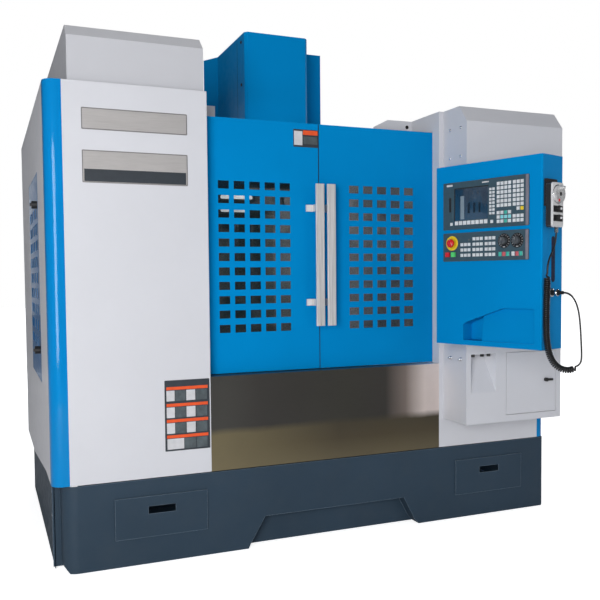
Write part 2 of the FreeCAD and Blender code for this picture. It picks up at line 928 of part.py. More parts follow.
# ---------------------------------------------------------------- enclosure sheets
def rounded_corner_strip(x_flat, x_side, radius, y_return, z0, z1):
    """The blue corner sheet: flat at the front, rounded, then back along the side."""
    sign = 1 if x_side > x_flat else -1

    def profile(inset):
        x = x_side - sign * inset
        r = radius - inset
        centre_x = x_side - sign * radius
        mid = Vector(centre_x + sign * r * math.sin(math.pi / 4),
                     radius - r * math.cos(math.pi / 4), z0)
        return x, mid, centre_x

    x_out, mid_out, centre_x = profile(0)
    x_in, mid_in, centre_x = profile(sheet)
    start = Vector(x_flat, 0, z0)
    a = Vector(centre_x, 0, z0)
    b = Vector(x_out, radius, z0)
    end = Vector(x_out, y_return, z0)
    end_in = Vector(x_in, y_return, z0)
    b_in = Vector(x_in, radius, z0)
    a_in = Vector(centre_x, sheet, z0)
    start_in = Vector(x_flat, sheet, z0)
    edges = [
        Part.LineSegment(start, a).toShape(), Part.Arc(a, mid_out, b).toShape(),
        Part.LineSegment(b, end).toShape(), Part.LineSegment(end, end_in).toShape(),
        Part.LineSegment(end_in, b_in).toShape(), Part.Arc(b_in, mid_in, a_in).toShape(),
        Part.LineSegment(a_in, start_in).toShape(), Part.LineSegment(start_in, start).toShape(),
    ]
    return Part.Face(Part.Wire(edges)).extrude(Vector(0, 0, z1 - z0))


def corner_strips():
    left = rounded_corner_strip(left_side_x + left_strip_width, left_side_x, strip_radius,
                                strip_return, panel_bottom, panel_top)
    right = rounded_corner_strip(right_side_x - right_strip_width, right_side_x,
                                 right_strip_radius, strip_return, panel_bottom, panel_top)
    return group(left, right)


def left_front_panel():
    x0 = left_side_x + left_strip_width
    face = box(x0, left_jamb_x, 0, sheet, panel_bottom, panel_top)
    jamb = box(left_jamb_x - sheet, left_jamb_x, 0, jamb_depth, panel_bottom, panel_top)
    foot = box(x0 + 40, left_jamb_x, 0, jamb_depth, panel_bottom, panel_bottom + sheet)
    lintel_z = door_top + header_gap
    cheek = box(left_jamb_x - sheet, left_jamb_x, 0, cheek_depth, lintel_z, panel_top)
    stub = box(left_jamb_x - sheet, left_stub_end_x, cheek_depth - sheet, cheek_depth,
               panel_top - left_stub_height, panel_top)
    return fuse(face, jamb, foot, cheek, stub)


def right_front_panel():
    x1 = right_side_x - right_strip_width
    face = box(right_jamb_x, x1, 0, sheet, panel_bottom, panel_top)
    jamb = box(right_jamb_x, right_jamb_x + sheet, 0, jamb_depth, panel_bottom, panel_top)
    foot = box(right_jamb_x, x1 - 40, 0, jamb_depth, panel_bottom, panel_bottom + sheet)
    lintel_z = door_top + header_gap
    cheek = box(right_jamb_x, right_jamb_x + sheet, 0, cheek_depth, lintel_z, panel_top)
    stub_outline = [
        (right_jamb_x + sheet, lintel_z), (right_stub_end_x, lintel_z),
        (right_stub_end_x, panel_top - right_stub_slope.z),
        (right_stub_end_x + right_stub_slope.x, panel_top), (right_jamb_x + sheet, panel_top),
    ]
    stub = outline_xz(stub_outline, cheek_depth - sheet, cheek_depth)
    return fuse(face, jamb, foot, cheek, stub)


def side_outline():
    return [
        (strip_return, panel_bottom), (side_slope_start_y, panel_bottom),
        (side_slope_end_y, side_low_edge), (side_depth, side_low_edge),
        (side_depth, panel_top), (strip_return, panel_top),
    ]


def roof_outline(x_side, x_inner, radius):
    """The roof sheet in plan; its front outer corner is cut back inside the rounded strip."""
    sign = 1 if x_side > 0 else -1
    x_wall = x_side - sign * sheet
    return [
        (x_inner, sheet), (x_side - sign * (radius + sheet), sheet),
        (x_wall, radius + sheet), (x_wall, side_depth), (x_inner, side_depth),
    ]


def left_side_panel():
    side = outline_yz(side_outline(), left_side_x, left_side_x + sheet)
    roof = outline_xy(roof_outline(left_side_x, left_jamb_x - sheet, strip_radius),
                      panel_top - sheet, panel_top)
    rear = box(left_side_x, -rear_gap_half, side_depth - sheet, side_depth, panel_bottom,
               panel_top)
    opening, low, high, holes, leaf = service_door_pieces()
    return fuse(side.cut(opening), roof, rear, low, high).cut(holes)


def right_side_panel():
    side = outline_yz(side_outline(), right_side_x - sheet, right_side_x)
    roof = outline_xy(roof_outline(right_side_x, right_jamb_x + sheet, right_strip_radius),
                      panel_top - sheet, panel_top)
    rear = box(rear_gap_half, right_side_x, side_depth - sheet, side_depth, panel_bottom,
               panel_top)
    return fuse(side, roof, rear)


def left_hood():
    x0 = left_side_x + hood_side_inset
    x1 = left_jamb_x + 1.0
    top = panel_top + hood_height
    back = side_depth - hood_back_margin

    def profile(inset):
        bend = inset * 0.4
        return [
            (hood_front_y + inset, panel_top - 1 if inset else panel_top),
            (hood_front_y + inset, top - hood_chamfer_rise - bend),
            (hood_front_y + hood_chamfer + bend, top - inset), (back - inset, top - inset),
            (back - inset, panel_top - 1 if inset else panel_top),
        ]
    outer = outline_yz(profile(0), x0, x1)
    inner = outline_yz(profile(sheet), x0 + sheet, x1 - sheet)
    return outer.cut(inner)


def service_door_pieces():
    width = service_back_y - service_front_y
    pieces = access_door(width, service_bottom, service_top, sheet)
    return [place_on_left_side(piece) for piece in pieces]


def service_door():
    leaf = service_door_pieces()[4]
    span_y = (service_columns - 1) * service_pitch_y + service_hole_width
    span_z = (service_rows - 1) * service_pitch_z + service_hole_height
    y0 = (service_front_y + service_back_y - span_y) / 2
    top = (knob_top_z + knob_bottom_z + span_z) / 2
    for column in range(service_columns):
        y = y0 + column * service_pitch_y
        for row in range(service_rows):
            z = top - row * service_pitch_z
            leaf = leaf.cut(box(left_side_x - 1, left_side_x + sheet + 1, y,
                                y + service_hole_width, z - service_hole_height, z))
    for z in (knob_top_z, knob_bottom_z):
        hole = rod(Vector(left_side_x - 1, service_front_y + knob_from_edge, z), X_AXIS,
                   knob_shaft_radius + pivot_clearance, sheet + 2)
        leaf = leaf.cut(hole)
    return leaf


def service_knob(z):
    knob = turn_knob(sheet + cam_gap + cam_thickness, knob_from_edge + cam_lap)
    knob.rotate(Vector(0, 0, 0), Z_AXIS, -90)
    knob.translate(Vector(left_side_x, service_front_y + knob_from_edge, z))
    return knob


# ---------------------------------------------------------------- base
def arch_outline():
    return [
        (arch_left_x, -1), (arch_left_x + arch_left_toe_inset, arch_toe_height),
        (arch_top_left_x, arch_height), (arch_top_right_x, arch_height),
        (arch_right_x - arch_right_toe_inset, arch_toe_height), (arch_right_x, -1),
    ]


def skirt_profile():
    """The skirt sheet in plan: rounded corner, long front, small corner, short return."""
    lx = skirt_left_x
    rx = skirt_right_x
    lr = skirt_left_radius
    rr = skirt_right_radius
    y = skirt_y

    def loop(inset):
        l_mid = Vector(lx + lr - (lr - inset) * math.sin(math.pi / 4),
                       y + lr - (lr - inset) * math.cos(math.pi / 4), 0)
        r_mid = Vector(rx - rr + (rr - inset) * math.sin(math.pi / 4),
                       y + rr - (rr - inset) * math.cos(math.pi / 4), 0)
        return [
            Vector(lx + inset, y + skirt_return, 0), Vector(lx + inset, y + lr, 0), l_mid,
            Vector(lx + lr, y + inset, 0), Vector(rx - rr, y + inset, 0), r_mid,
            Vector(rx - inset, y + rr, 0), Vector(rx - inset, y + skirt_return, 0),
        ]
    o = loop(0)
    i = loop(sheet)
    edges = [
        Part.LineSegment(o[0], o[1]).toShape(), Part.Arc(o[1], o[2], o[3]).toShape(),
        Part.LineSegment(o[3], o[4]).toShape(), Part.Arc(o[4], o[5], o[6]).toShape(),
        Part.LineSegment(o[6], o[7]).toShape(), Part.LineSegment(o[7], i[7]).toShape(),
        Part.LineSegment(i[7], i[6]).toShape(), Part.Arc(i[6], i[5], i[4]).toShape(),
        Part.LineSegment(i[4], i[3]).toShape(), Part.Arc(i[3], i[2], i[1]).toShape(),
        Part.LineSegment(i[1], i[0]).toShape(), Part.LineSegment(i[0], o[0]).toShape(),
    ]
    return Part.Face(Part.Wire(edges))


def drawer_runners(x0, width):
    """The two ledges that one drawer's tray slides on, welded to the back of the skirt."""
    top = drawer_bottom + drawer_lap - seat_gap
    y0 = skirt_y + sheet
    inner0 = x0 + drawer_lap
    inner1 = x0 + width - drawer_lap
    ledges = []
    for start, end, wall_x in (
        (inner0 - tray_clearance - sheet, inner0 + runner_width, inner0 - tray_clearance - sheet),
        (inner1 - runner_width, inner1 + tray_clearance + sheet, inner1 + tray_clearance),
    ):
        ledge = box(start, end, y0, y0 + tray_length, top - sheet, top)
        wall = box(wall_x, wall_x + sheet, y0, y0 + tray_length, top - sheet, top + 40)
        ledges.append(fuse(ledge, wall))
    return ledges


def drawer_hole(x0, width):
    low = drawer_bottom + drawer_lap
    return box(x0 + drawer_lap - tray_clearance, x0 + width - drawer_lap + tray_clearance,
               skirt_y - 1, skirt_y + sheet + 1, low - seat_gap, low + tray_height + tray_clearance)


def front_skirt():
    top = panel_bottom - skirt_gap
    plate = skirt_profile().extrude(Vector(0, 0, top))
    y0 = skirt_y + sheet
    flange = box(skirt_left_x + skirt_left_radius, skirt_right_x - skirt_right_radius, y0 - 1,
                 y0 + skirt_joggle_depth, top - sheet, top)
    joggle = box(left_side_x + left_strip_width + 45, right_side_x - right_strip_width - 45,
                 y0 + skirt_joggle_depth - sheet, y0 + skirt_joggle_depth, top - sheet,
                 panel_bottom)
    arch = outline_xz(arch_outline(), skirt_y - 1, skirt_y + arch_depth - sheet)
    outer_points = [
        (arch_left_x - sheet, 0), (arch_left_x + arch_left_toe_inset - sheet, arch_toe_height),
        (arch_top_left_x - sheet / 2, arch_height + sheet),
        (arch_top_right_x + sheet / 2, arch_height + sheet),
        (arch_right_x - arch_right_toe_inset + sheet, arch_toe_height), (arch_right_x + sheet, 0),
    ]
    liner = outline_xz(outer_points, skirt_y, skirt_y + arch_depth)
    skirt = fuse(plate, flange, joggle, liner).cut(arch)
    chamfer = outline_xz([(skirt_left_x - 1, -1), (skirt_left_x + corner_chamfer_width, -1),
                          (skirt_left_x - 1, corner_chamfer_height)],
                         skirt_y - 1, skirt_y + skirt_return + 1)
    skirt = skirt.cut(chamfer)
    runners = []
    for x0, width in ((left_drawer_x, left_drawer_width), (right_drawer_x, right_drawer_width)):
        skirt = skirt.cut(drawer_hole(x0, width))
        runners += drawer_runners(x0, width)
    return fuse(skirt, *runners)


def chip_drawer(x0, width):
    """Raised front with a finger slot, and the open tray behind it."""
    y_front = skirt_y - drawer_front_depth
    z1 = drawer_bottom + drawer_height
    x1 = x0 + width
    front = box(x0, x1, y_front, skirt_y - seat_gap, drawer_bottom, z1)
    front = front.cut(box(x0 + sheet, x1 - sheet, y_front + sheet, skirt_y, drawer_bottom + sheet,
                          z1 - sheet))
    tx0 = x0 + drawer_lap
    tx1 = x1 - drawer_lap
    tz0 = drawer_bottom + drawer_lap
    tray = box(tx0, tx1, y_front + 1, y_front + tray_length, tz0, tz0 + tray_height)
    inside = box(tx0 + tray_wall, tx1 - tray_wall, y_front + sheet,
                 y_front + tray_length - tray_wall, tz0 + tray_wall, tz0 + tray_height + 1)
    middle = (x0 + x1) / 2
    slot = box(middle - slot_width / 2, middle + slot_width / 2, y_front - 1,
               y_front + sheet + 1, z1 - slot_below_top - slot_height, z1 - slot_below_top)
    return fuse(front, tray.cut(inside)).cut(slot)


def base_plates():
    plates = []
    for x_side, sign in ((left_side_x, 1), (right_side_x, -1)):
        x_out = x_side + sign * base_inset
        x_in = x_out + sign * sheet
        lo, hi = sorted((x_out, x_in))
        top = panel_bottom + base_overlap
        side = box(lo, hi, base_front_y, base_back_y, 0, top)
        a, b = sorted((x_in, -sign * bed_half_width))
        rear = box(a, b, base_back_y - sheet, base_back_y, 0, panel_bottom)
        c, d = sorted((x_side + sign * sheet, x_in))
        lip = box(c, d, base_front_y, base_back_y, top - sheet, top)
        plates.append(fuse(side, rear, lip))
    return group(*plates)


# ---------------------------------------------------------------- doors
def apron():
    face = box(left_jamb_x, right_jamb_x, 0, 1.5, panel_bottom, sill_height)
    sill = box(left_jamb_x, right_jamb_x, 0, sill_depth, sill_height - 1.5, sill_height)
    drop = box(left_jamb_x, right_jamb_x, sill_depth - 1.5, sill_depth, sill_height - 40,
               sill_height)
    foot = box(left_jamb_x, right_jamb_x, 0, jamb_depth, panel_bottom, panel_bottom + 1.5)
    return fuse(face, sill, drop, foot)


def sliding_door(x0, x1, window_x, pitch_x, carriage_side):
    z0 = sill_height + sill_gap
    face = box(x0, x1, door_y, door_y + door_sheet, z0, door_top)
    pan = box(x0, x1, door_y, door_y + door_return, z0, door_top)
    hollow = box(x0 + door_sheet, x1 - door_sheet, door_y + door_sheet, door_y + door_return + 1,
                 z0 + door_sheet, door_top - door_sheet)
    door = fuse(face, pan.cut(hollow))
    openings = windows(window_x, pitch_x, window_columns, window_width, window_top_z,
                       window_pitch_z, window_rows, window_height, door_y - 1,
                       door_y + door_sheet + 1)
    door = door.cut(Part.makeCompound(openings))
    carriages = []
    groove = rail_size / 2 + slide_clearance
    for x in (x0 + 30, x1 - 30 - carriage_length):
        block = box(x, x + carriage_length, door_y + door_sheet, beam_front_y - carriage_gap,
                    rail_z - rail_size / 2 - carriage_wall, rail_z + rail_size / 2 + carriage_wall)
        slot = box(x - 1, x + carriage_length + 1, beam_front_y - rail_size - slide_clearance,
                   beam_front_y, rail_z - groove, rail_z + groove)
        carriages.append(block.cut(slot))
    return fuse(door, *carriages)


def window_pane(window_x, pitch_x):
    x0 = window_x - pane_margin
    x1 = window_x + (window_columns - 1) * pitch_x + window_width + pane_margin
    z1 = window_top_z + pane_margin
    z0 = window_top_z - (window_rows - 1) * window_pitch_z - window_height - pane_margin
    y0 = door_y + door_sheet
    return box(x0, x1, y0, y0 + pane_thickness, z0, z1)


def door_handle(side, from_meeting):
    """A flat upright bar on two posts, each with a flange that lies on the door and reaches
    outwards; side is -1 for the left door and 1 for the right."""
    front = door_y - handle_stand - handle_thickness
    back = door_y - handle_stand
    top = handle_bottom + handle_length
    bar = side_box(side, from_meeting, from_meeting + handle_width, front, back,
                   handle_bottom, top)
    upright = [e for e in bar.Edges if abs(e.Curve.Direction.z) > 0.99]
    bar = bar.makeChamfer(2, upright)
    near = from_meeting + handle_foot_shift
    feet = []
    for z in (handle_bottom + handle_foot_inset, top - handle_foot_inset - handle_foot_height):
        feet.append(side_box(side, near, near + handle_foot_width, back - 1, door_y, z,
                             z + handle_foot_height))
        feet.append(side_box(side, near, handle_flange_reach, door_y - handle_flange_thickness,
                             door_y, z, z + handle_foot_height))
    return fuse(bar, *feet)


def side_box(side, near, far, y0, y1, z0, z1):
    """A box between two distances from the doors' meeting line, on one side of it."""
    x0, x1 = sorted((side * near, side * far))
    return box(x0, x1, y0, y1, z0, z1)


def door_rail():
    x0 = left_side_x + sheet
    x1 = right_side_x - sheet
    z0 = beam_top_z - beam_height
    beam = tube(box(x0, x1, beam_front_y, beam_front_y + beam_depth, z0, beam_top_z),
                box(x0 - 1, x1 + 1, beam_front_y + beam_wall, beam_front_y + beam_depth - beam_wall,
                    z0 + beam_wall, beam_top_z - beam_wall))
    rail = box(x0 + 12, x1 - 12, beam_front_y - rail_size, beam_front_y,
               rail_z - rail_size / 2, rail_z + rail_size / 2)
    return group(beam, rail)


# ---------------------------------------------------------------- console column
def funnel(grow):
    """The recess of the gun holders: deepest at its top, running out at its bottom edge."""
    x0 = recess_x - grow
    x1 = recess_x + recess_width + grow
    z0 = recess_bottom - grow
    z1 = recess_bottom + recess_height + grow
    y0 = -console_depth
    y1 = y0 + recess_depth + grow
    a = Vector(x0, y0, z0)
    b = Vector(x1, y0, z0)
    c = Vector(x1, y0, z1)
    d = Vector(x0, y0, z1)
    e = Vector(x0 + recess_taper, y1, z1)
    f = Vector(x1 - recess_taper, y1, z1)
    faces = []
    for corners in ([a, b, c, d], [d, c, f, e], [a, e, f, b], [a, d, e], [b, f, c]):
        faces.append(Part.Face(Part.makePolygon(corners + [corners[0]])))
    return Part.Solid(Part.makeShell(faces))


def console_door_pieces():
    pieces = access_door(cupboard_width, cupboard_bottom, cupboard_bottom + cupboard_height, sheet)
    return [place_on_console(piece) for piece in pieces]


def console_column():
    y0 = -console_depth
    ridge_y = y0 + console_ridge_back

    def profile(inset):
        lean = inset * 0.5
        return [
            (y0 + inset, console_bottom + inset), (y0 + inset, console_fold_z - lean),
            (ridge_y + lean, panel_top - inset), (1 if inset else 0, panel_top - inset),
            (1 if inset else 0, console_bottom + inset),
        ]
    outer = outline_yz(profile(0), console_left_x, console_right_x - sheet)
    inner = outline_yz(profile(sheet), console_left_x + sheet, console_right_x)
    shell = outer.cut(inner)
    right_sheet = outline_yz(profile(0), console_right_x - sheet, console_right_x)
    shelf_z = cupboard_bottom + cupboard_height + cupboard_shelf_gap
    shelf = box(console_left_x + 1, console_right_x - sheet, y0 + 1, 0, shelf_z,
                shelf_z + sheet)
    wall_x = cupboard_x - cupboard_shelf_gap
    wall = box(wall_x, wall_x + sheet, y0 + 1, 0, console_bottom + 1, shelf_z + 1)
    opening, low, high, holes, leaf = console_door_pieces()
    shell = fuse(shell, shelf, wall, funnel(sheet)).cut(funnel(0)).cut(opening)
    shell = fuse(shell, low, high).cut(holes)
    return group(fuse(shell, *console_knuckles()), right_sheet)


def console_knuckles():
    """The fixed half of the pendant's hinge: pins with a knuckle above and below, on webs
    welded to the console's front left edge."""
    pieces = []
    for z in hinge_heights():
        for z0 in (z, z + 2 * hinge_knuckle + 2 * seat_gap):
            pieces.append(flat_sided(Vector(hinge_x, hinge_y, z0), Z_AXIS, hinge_radius,
                                     hinge_knuckle, 8))
            pieces.append(box(hinge_x, console_left_x + 20, hinge_y, -console_depth + 0.5,
                              z0, z0 + hinge_knuckle))
        pieces.append(rod(Vector(hinge_x, hinge_y, z), Z_AXIS, hinge_pin_radius,
                          3 * hinge_knuckle + 2 * seat_gap))
    return pieces


def hinge_heights():
    low = pendant_bottom + hinge_inset
    high = pendant_bottom + pendant_height - hinge_inset - 3 * hinge_knuckle - 2 * seat_gap
    return low, high


def console_door():
    leaf = console_door_pieces()[4]
    hole = rod(latch_place() - Vector(0, 1, 0), Y_AXIS, knob_shaft_radius + pivot_clearance,
               sheet + 2)
    return leaf.cut(hole)


def latch_place():
    return Vector(cupboard_x + cupboard_width - latch_from_edge, -console_depth, latch_z)


def console_latch():
    """A wing latch: round boss and a flat lever outside, cam hanging down inside."""
    boss = flat_sided(Vector(0, -seat_gap - latch_height, 0), Y_AXIS, latch_radius,
                      latch_height, 12)
    lever = box(-latch_radius, latch_lever, -seat_gap - latch_height, -seat_gap - 4, -5, 5)
    shaft_to = sheet + cam_gap + cam_thickness
    shaft = rod(Vector(0, -seat_gap, 0), Y_AXIS, knob_shaft_radius, seat_gap + shaft_to)
    cam = box(-knob_shaft_radius, knob_shaft_radius, shaft_to - cam_thickness, shaft_to,
              -latch_from_edge - cam_lap, knob_shaft_radius)
    latch = fuse(boss, lever, shaft, cam)
    latch.translate(latch_place())
    return latch


def coolant_ports():
    """Three hose ports that hang from the recess's roof."""
    ports = []
    x = recess_x + recess_width / 2
    z = recess_bottom + recess_height
    for offset in port_offsets:
        start = Vector(x + offset, -console_depth + recess_depth / 3, z)
        ports.append(flat_sided(start, Vector(0, 0, -1), port_radius, port_length, 12))
    return group(*ports)


# ---------------------------------------------------------------- electrical cabinet
def cabinet_door_pieces():
    width = 2 * (cabinet_half_width - cabinet_frame)
    z0 = cabinet_bottom + cabinet_frame
    z1 = cabinet_bottom + cabinet_height - cabinet_frame
    return [place_on_cabinet(piece) for piece in access_door(width, z0, z1, sheet)]


def electrical_cabinet():
    w = cabinet_half_width
    y1 = side_depth + cabinet_depth
    z1 = cabinet_bottom + cabinet_height
    outer = box(-w, w, side_depth, y1, cabinet_bottom, z1)
    inner = box(-w + sheet, w - sheet, side_depth + sheet, y1 - sheet, cabinet_bottom + sheet,
                z1 - sheet)
    opening, low, high, holes, leaf = cabinet_door_pieces()
    return fuse(outer.cut(inner).cut(opening), low, high).cut(holes)


def cabinet_door():
    leaf = cabinet_door_pieces()[4]
    z1 = cabinet_bottom + cabinet_height - cabinet_frame
    y1 = side_depth + cabinet_depth
    slots = []
    for index in range(6):
        z = z1 - 120 - index * 24
        slots.append(box(-160, 160, y1 - sheet - 1, y1 + 1, z - 8, z))
    return leaf.cut(Part.makeCompound(slots))


# ---------------------------------------------------------------- pendant
# The pendant is laid out as it hangs when closed against the console: x along its face from
# its left edge, out = distance in front of its face, z up. pendant_place then swings it open.
def pendant_point(x, out, z):
    return Vector(pendant_left_x + x, pendant_face_y - out, z)


def pendant_place(shape):
    placed = shape.copy()
    placed.rotate(Vector(hinge_x, hinge_y, 0), Z_AXIS, -pendant_open_angle)
    return placed


def face_box(x0, x1, out0, out1, z0, z1):
    """A box on the pendant's face, from out0 to out1 in front of it."""
    return box(pendant_left_x + x0, pendant_left_x + x1, pendant_face_y - out1,
               pendant_face_y - out0, z0, z1)


def end_box(s0, s1, out0, out1, z0, z1):
    """A box on the pendant's end face: s back from the front edge, out off the end face."""
    x = pendant_left_x + pendant_width
    return box(x + out0, x + out1, pendant_face_y + s0, pendant_face_y + s1, z0, z1)


def end_point(s, out, z):
    return Vector(pendant_left_x + pendant_width + out, pendant_face_y + s, z)


def pendant_box():
    z0 = pendant_bottom
    z1 = pendant_bottom + pendant_height
    outer = face_box(0, pendant_width, -pendant_depth, 0, z0, z1)
    edges = [e for e in outer.Edges if abs(e.Curve.Direction.z) > 0.99]
    outer = outer.makeFillet(pendant_corner, edges)
    inner = face_box(sheet, pendant_width - sheet, -pendant_depth + sheet, -sheet, z0 + sheet,
                     z1 - sheet)
    shell = outer.cut(inner)

    def pocket(grow):
        corners = [
            (pocket_left - grow, pocket_bottom - grow), (pocket_deep_end + grow, pocket_bottom - grow),
            (pocket_deep_end + grow, pocket_slope_z(pocket_deep_end) + grow),
            (pocket_left + 17, pocket_slope_z(pocket_left + 17) + grow),
            (pocket_left - grow, pocket_low_top),
        ]
        points = [pendant_point(x, 0, z) for x, z in corners]
        deep = prism(points, Vector(0, pocket_deep + grow, 0))
        wide = [
            (pocket_deep_end, pocket_bottom - grow), (pocket_right + grow, pocket_bottom - grow),
            (pocket_right + grow, pocket_top + grow), (pocket_rise_end, pocket_top + grow),
            (pocket_deep_end, pocket_slope_z(pocket_deep_end) + grow),
        ]
        points = [pendant_point(x, 0, z) for x, z in wide]
        shallow = prism(points, Vector(0, pocket_shallow + grow, 0))
        y0 = pendant_face_y
        y1 = pendant_face_y + pocket_shallow + grow + 1
        wedge = outline_yz([(y0 + pocket_toe + grow, pocket_bottom - grow - 1), (y1, pocket_bottom - grow - 1),
                            (y1, pocket_top)],
                           pendant_left_x + pocket_deep_end, pendant_left_x + pocket_right + grow + 1)
        return deep.fuse(shallow.cut(wedge))
    shell = fuse(shell, pocket(sheet)).cut(pocket(0))
    edge = control_cutout_edge
    cutout = face_box(wrap_x + edge, wrap_x + wrap_width - edge, -sheet - 1, 1,
                      control_top - control_height + edge, control_top - edge)
    half = side_slot_width / 2
    slot = end_box(side_slot_s - half, side_slot_s + half, -sheet - 1, 1,
                   side_slot_bottom, side_slot_bottom + side_slot_length)
    shell = cut(shell, cutout, slot)
    knuckles = []
    bores = []
    for z in hinge_heights():
        zk = z + hinge_knuckle + seat_gap
        length = hinge_knuckle
        knuckles.append(flat_sided(Vector(hinge_x, hinge_y, zk), Z_AXIS, hinge_radius, length, 8))
        knuckles.append(box(hinge_x - hinge_radius, hinge_x + hinge_radius,
                            hinge_y - pendant_back_gap - 0.5, hinge_y, zk, zk + length))
        bores.append(rod(Vector(hinge_x, hinge_y, zk - 1), Z_AXIS,
                         hinge_pin_radius + pivot_clearance, length + 2))
    return pendant_place(cut(fuse(shell, *knuckles), *bores))


def pocket_slope_z(x):
    """Height of the pocket's slanting top edge at x along the face."""
    start = pocket_left + 17
    low = pocket_low_top + 10
    share = (x - start) / (pocket_rise_end - start)
    return low + share * (pocket_top - low)


def operator_panels():
    """The display plate and the machine control plate, with their side grips."""
    plates = []
    for top, height in ((display_top, display_height), (control_top, control_height)):
        plate = face_box(wrap_x, wrap_x + wrap_width, 0, plate_thickness, top - height, top)
        corners = [e for e in plate.Edges if abs(e.Curve.Direction.y) > 0.99]
        plates.append(plate.makeChamfer(3, corners))
    display, control = plates
    display = display.cut(face_box(screen_x, screen_x + screen_width, plate_thickness - screen_depth,
                                   plate_thickness + 1, screen_z, screen_z + screen_height))
    ring = rod(pendant_point(stop_x, plate_thickness, stop_z), Vector(0, -1, 0),
               stop_ring_radius, stop_ring_height)
    control = control.fuse(ring)
    for x, z, radius in ((stop_x, stop_z, stop_stem_radius),
                         (feed_dial_x, dial_z, dial_shaft_radius),
                         (speed_dial_x, dial_z, dial_shaft_radius)):
        control = control.cut(rod(pendant_point(x, plate_thickness + 5, z), Y_AXIS,
                                  radius + stem_clearance, plate_thickness + 6))
    half = push_stem_half + stem_clearance
    for x in (push_red_x, push_green_x):
        control = control.cut(face_box(x - half, x + half, -1, plate_thickness + 5,
                                       push_z - half, push_z + half))
    return pendant_place(group(display, control))


def screen():
    return pendant_place(face_box(screen_x, screen_x + screen_width,
                                  plate_thickness - screen_depth, plate_thickness + 0.5,
                                  screen_z, screen_z + screen_height))


def key_block(x0, z0, columns, rows, pitch_x, pitch_z, height=None):
    """Keys in rows and columns from the top left corner. Each leaves key_gap to the next, or
    has a height of its own."""
    if height is None:
        height = pitch_z - key_gap
    keys = []
    for column in range(columns):
        for row in range(rows):
            x = x0 + column * pitch_x
            z = z0 - row * pitch_z
            keys.append(face_box(x, x + pitch_x - key_gap, plate_thickness,
                                 plate_thickness + key_height, z - height, z))
    return keys


def panel_keys():
    """Raised keys: soft keys round the screen, letters, numbers, and the control groups."""
    below_z = screen_z - low_key_gap
    round_pitch = round_key_size + key_gap
    round_z = below_z - low_key_gap
    keys = key_block(soft_key_x, soft_key_z, 2, 8, soft_key_pitch_x, soft_key_pitch_z)
    keys += key_block(screen_x, below_z, 8, 1, low_key_pitch, low_key_height, low_key_height)
    for x in (screen_x - 2 * round_key_size, soft_key_x + round_key_size / 2):
        keys += key_block(x, round_z, 1, 1, round_pitch, round_pitch)
    keys += key_block(letter_x, letter_z, 4, 6, key_pitch_x, key_pitch_z)
    keys += key_block(letter_x, cursor_z, 4, 3, key_pitch_x, key_pitch_z)
    keys += key_block(number_x, letter_z, 3, 6, key_pitch_x, key_pitch_z)
    keys += key_block(number_x + key_pitch_x, letter_z - 6 * key_pitch_z, 2, 1, key_pitch_x,
                      key_pitch_z)
    keys += key_block(number_x, cursor_z - key_pitch_z, 3, 2, key_pitch_x, key_pitch_z)
    group_z = control_top - group_below_top
    for x, missing_rows in zip(group_xs, (1, 0, 0)):
        z = group_z - missing_rows * group_pitch_z
        keys += key_block(x, z, 3, 4 - missing_rows, group_pitch_x, group_pitch_z,
                          group_key_height)
    for x in (feed_dial_x, speed_dial_x):
        keys += key_block(x - (3 * group_pitch_x - key_gap) / 2,
                          dial_z - override_keys_below_dial, 3, 1, group_pitch_x,
                          group_pitch_z, override_key_height)
    return pendant_place(group(*keys))


def emergency_stop():
    """A round head that stands its travel off the ring, on a stem through the plate."""
    face = plate_thickness + stop_ring_height + stop_travel + seat_gap
    profile = [(0, -stem_length), (stop_stem_radius, -stem_length), (stop_stem_radius, face),
               (stop_cap_radius, face), (stop_cap_radius, face + stop_cap_height),
               (0, face + stop_cap_height)]
    return pendant_place(revolve(profile, pendant_point(stop_x, 0, stop_z), Vector(0, -1, 0)))


def push_button(x):
    """A square cap that stands its travel off the plate, on a square stem through it."""
    face = plate_thickness + push_travel + seat_gap
    stem = face_box(x - push_stem_half, x + push_stem_half, -stem_length, face + 1,
                    push_z - push_stem_half, push_z + push_stem_half)
    cap = face_box(x - push_half, x + push_half, face, face + push_height,
                   push_z - push_half, push_z + push_half)
    return pendant_place(fuse(cap, stem))


def override_dial(x):
    face = plate_thickness + seat_gap
    outwards = Vector(0, -1, 0)
    shaft = rod(pendant_point(x, -stem_length, dial_z), outwards, dial_shaft_radius,
                stem_length + face + 1)
    body = flat_sided(pendant_point(x, face, dial_z), outwards, dial_radius, dial_height, 16)
    grip = face_box(x - 2.5, x + 2.5, face + dial_height - 1, face + dial_height + 5,
                    dial_z - dial_radius + 2, dial_z + dial_radius - 2)
    return pendant_place(fuse(body, shaft, grip))


def handwheel_holder():
    plate = end_box(holder_s - holder_width / 2, holder_s + holder_width / 2, 0, holder_thickness,
                    holder_bottom, holder_bottom + holder_height)
    return pendant_place(plate)


def handwheel_body():
    y0 = unit_s - unit_width / 2
    y1 = unit_s + unit_width / 2
    out0 = holder_thickness
    out1 = out0 + unit_thickness
    body = end_box(y0, y1, out0, out1, unit_bottom, unit_bottom + unit_height)
    edges = [e for e in body.Edges if abs(e.Curve.Direction.x) > 0.99]
    body = body.makeChamfer(6, edges)
    gland = flat_sided(end_point(lead_start_s, lead_start_out, unit_bottom - gland_length),
                       Z_AXIS, gland_radius, gland_length + 1, 12)
    shafts = []
    for s, z, radius in ((wheel_s, wheel_z, 8), (wheel_s, axis_selector_z, 4),
                         (wheel_s, step_selector_z, 4)):
        shafts.append(rod(end_point(s, out1 - 12, z), X_AXIS, radius + pivot_clearance, 13))
    bore = rod(end_point(lead_start_s, lead_start_out, unit_bottom - gland_length - 1), Z_AXIS,
               lead_diameter / 2, 0.5)
    return pendant_place(cut(fuse(body, gland), bore, *shafts))


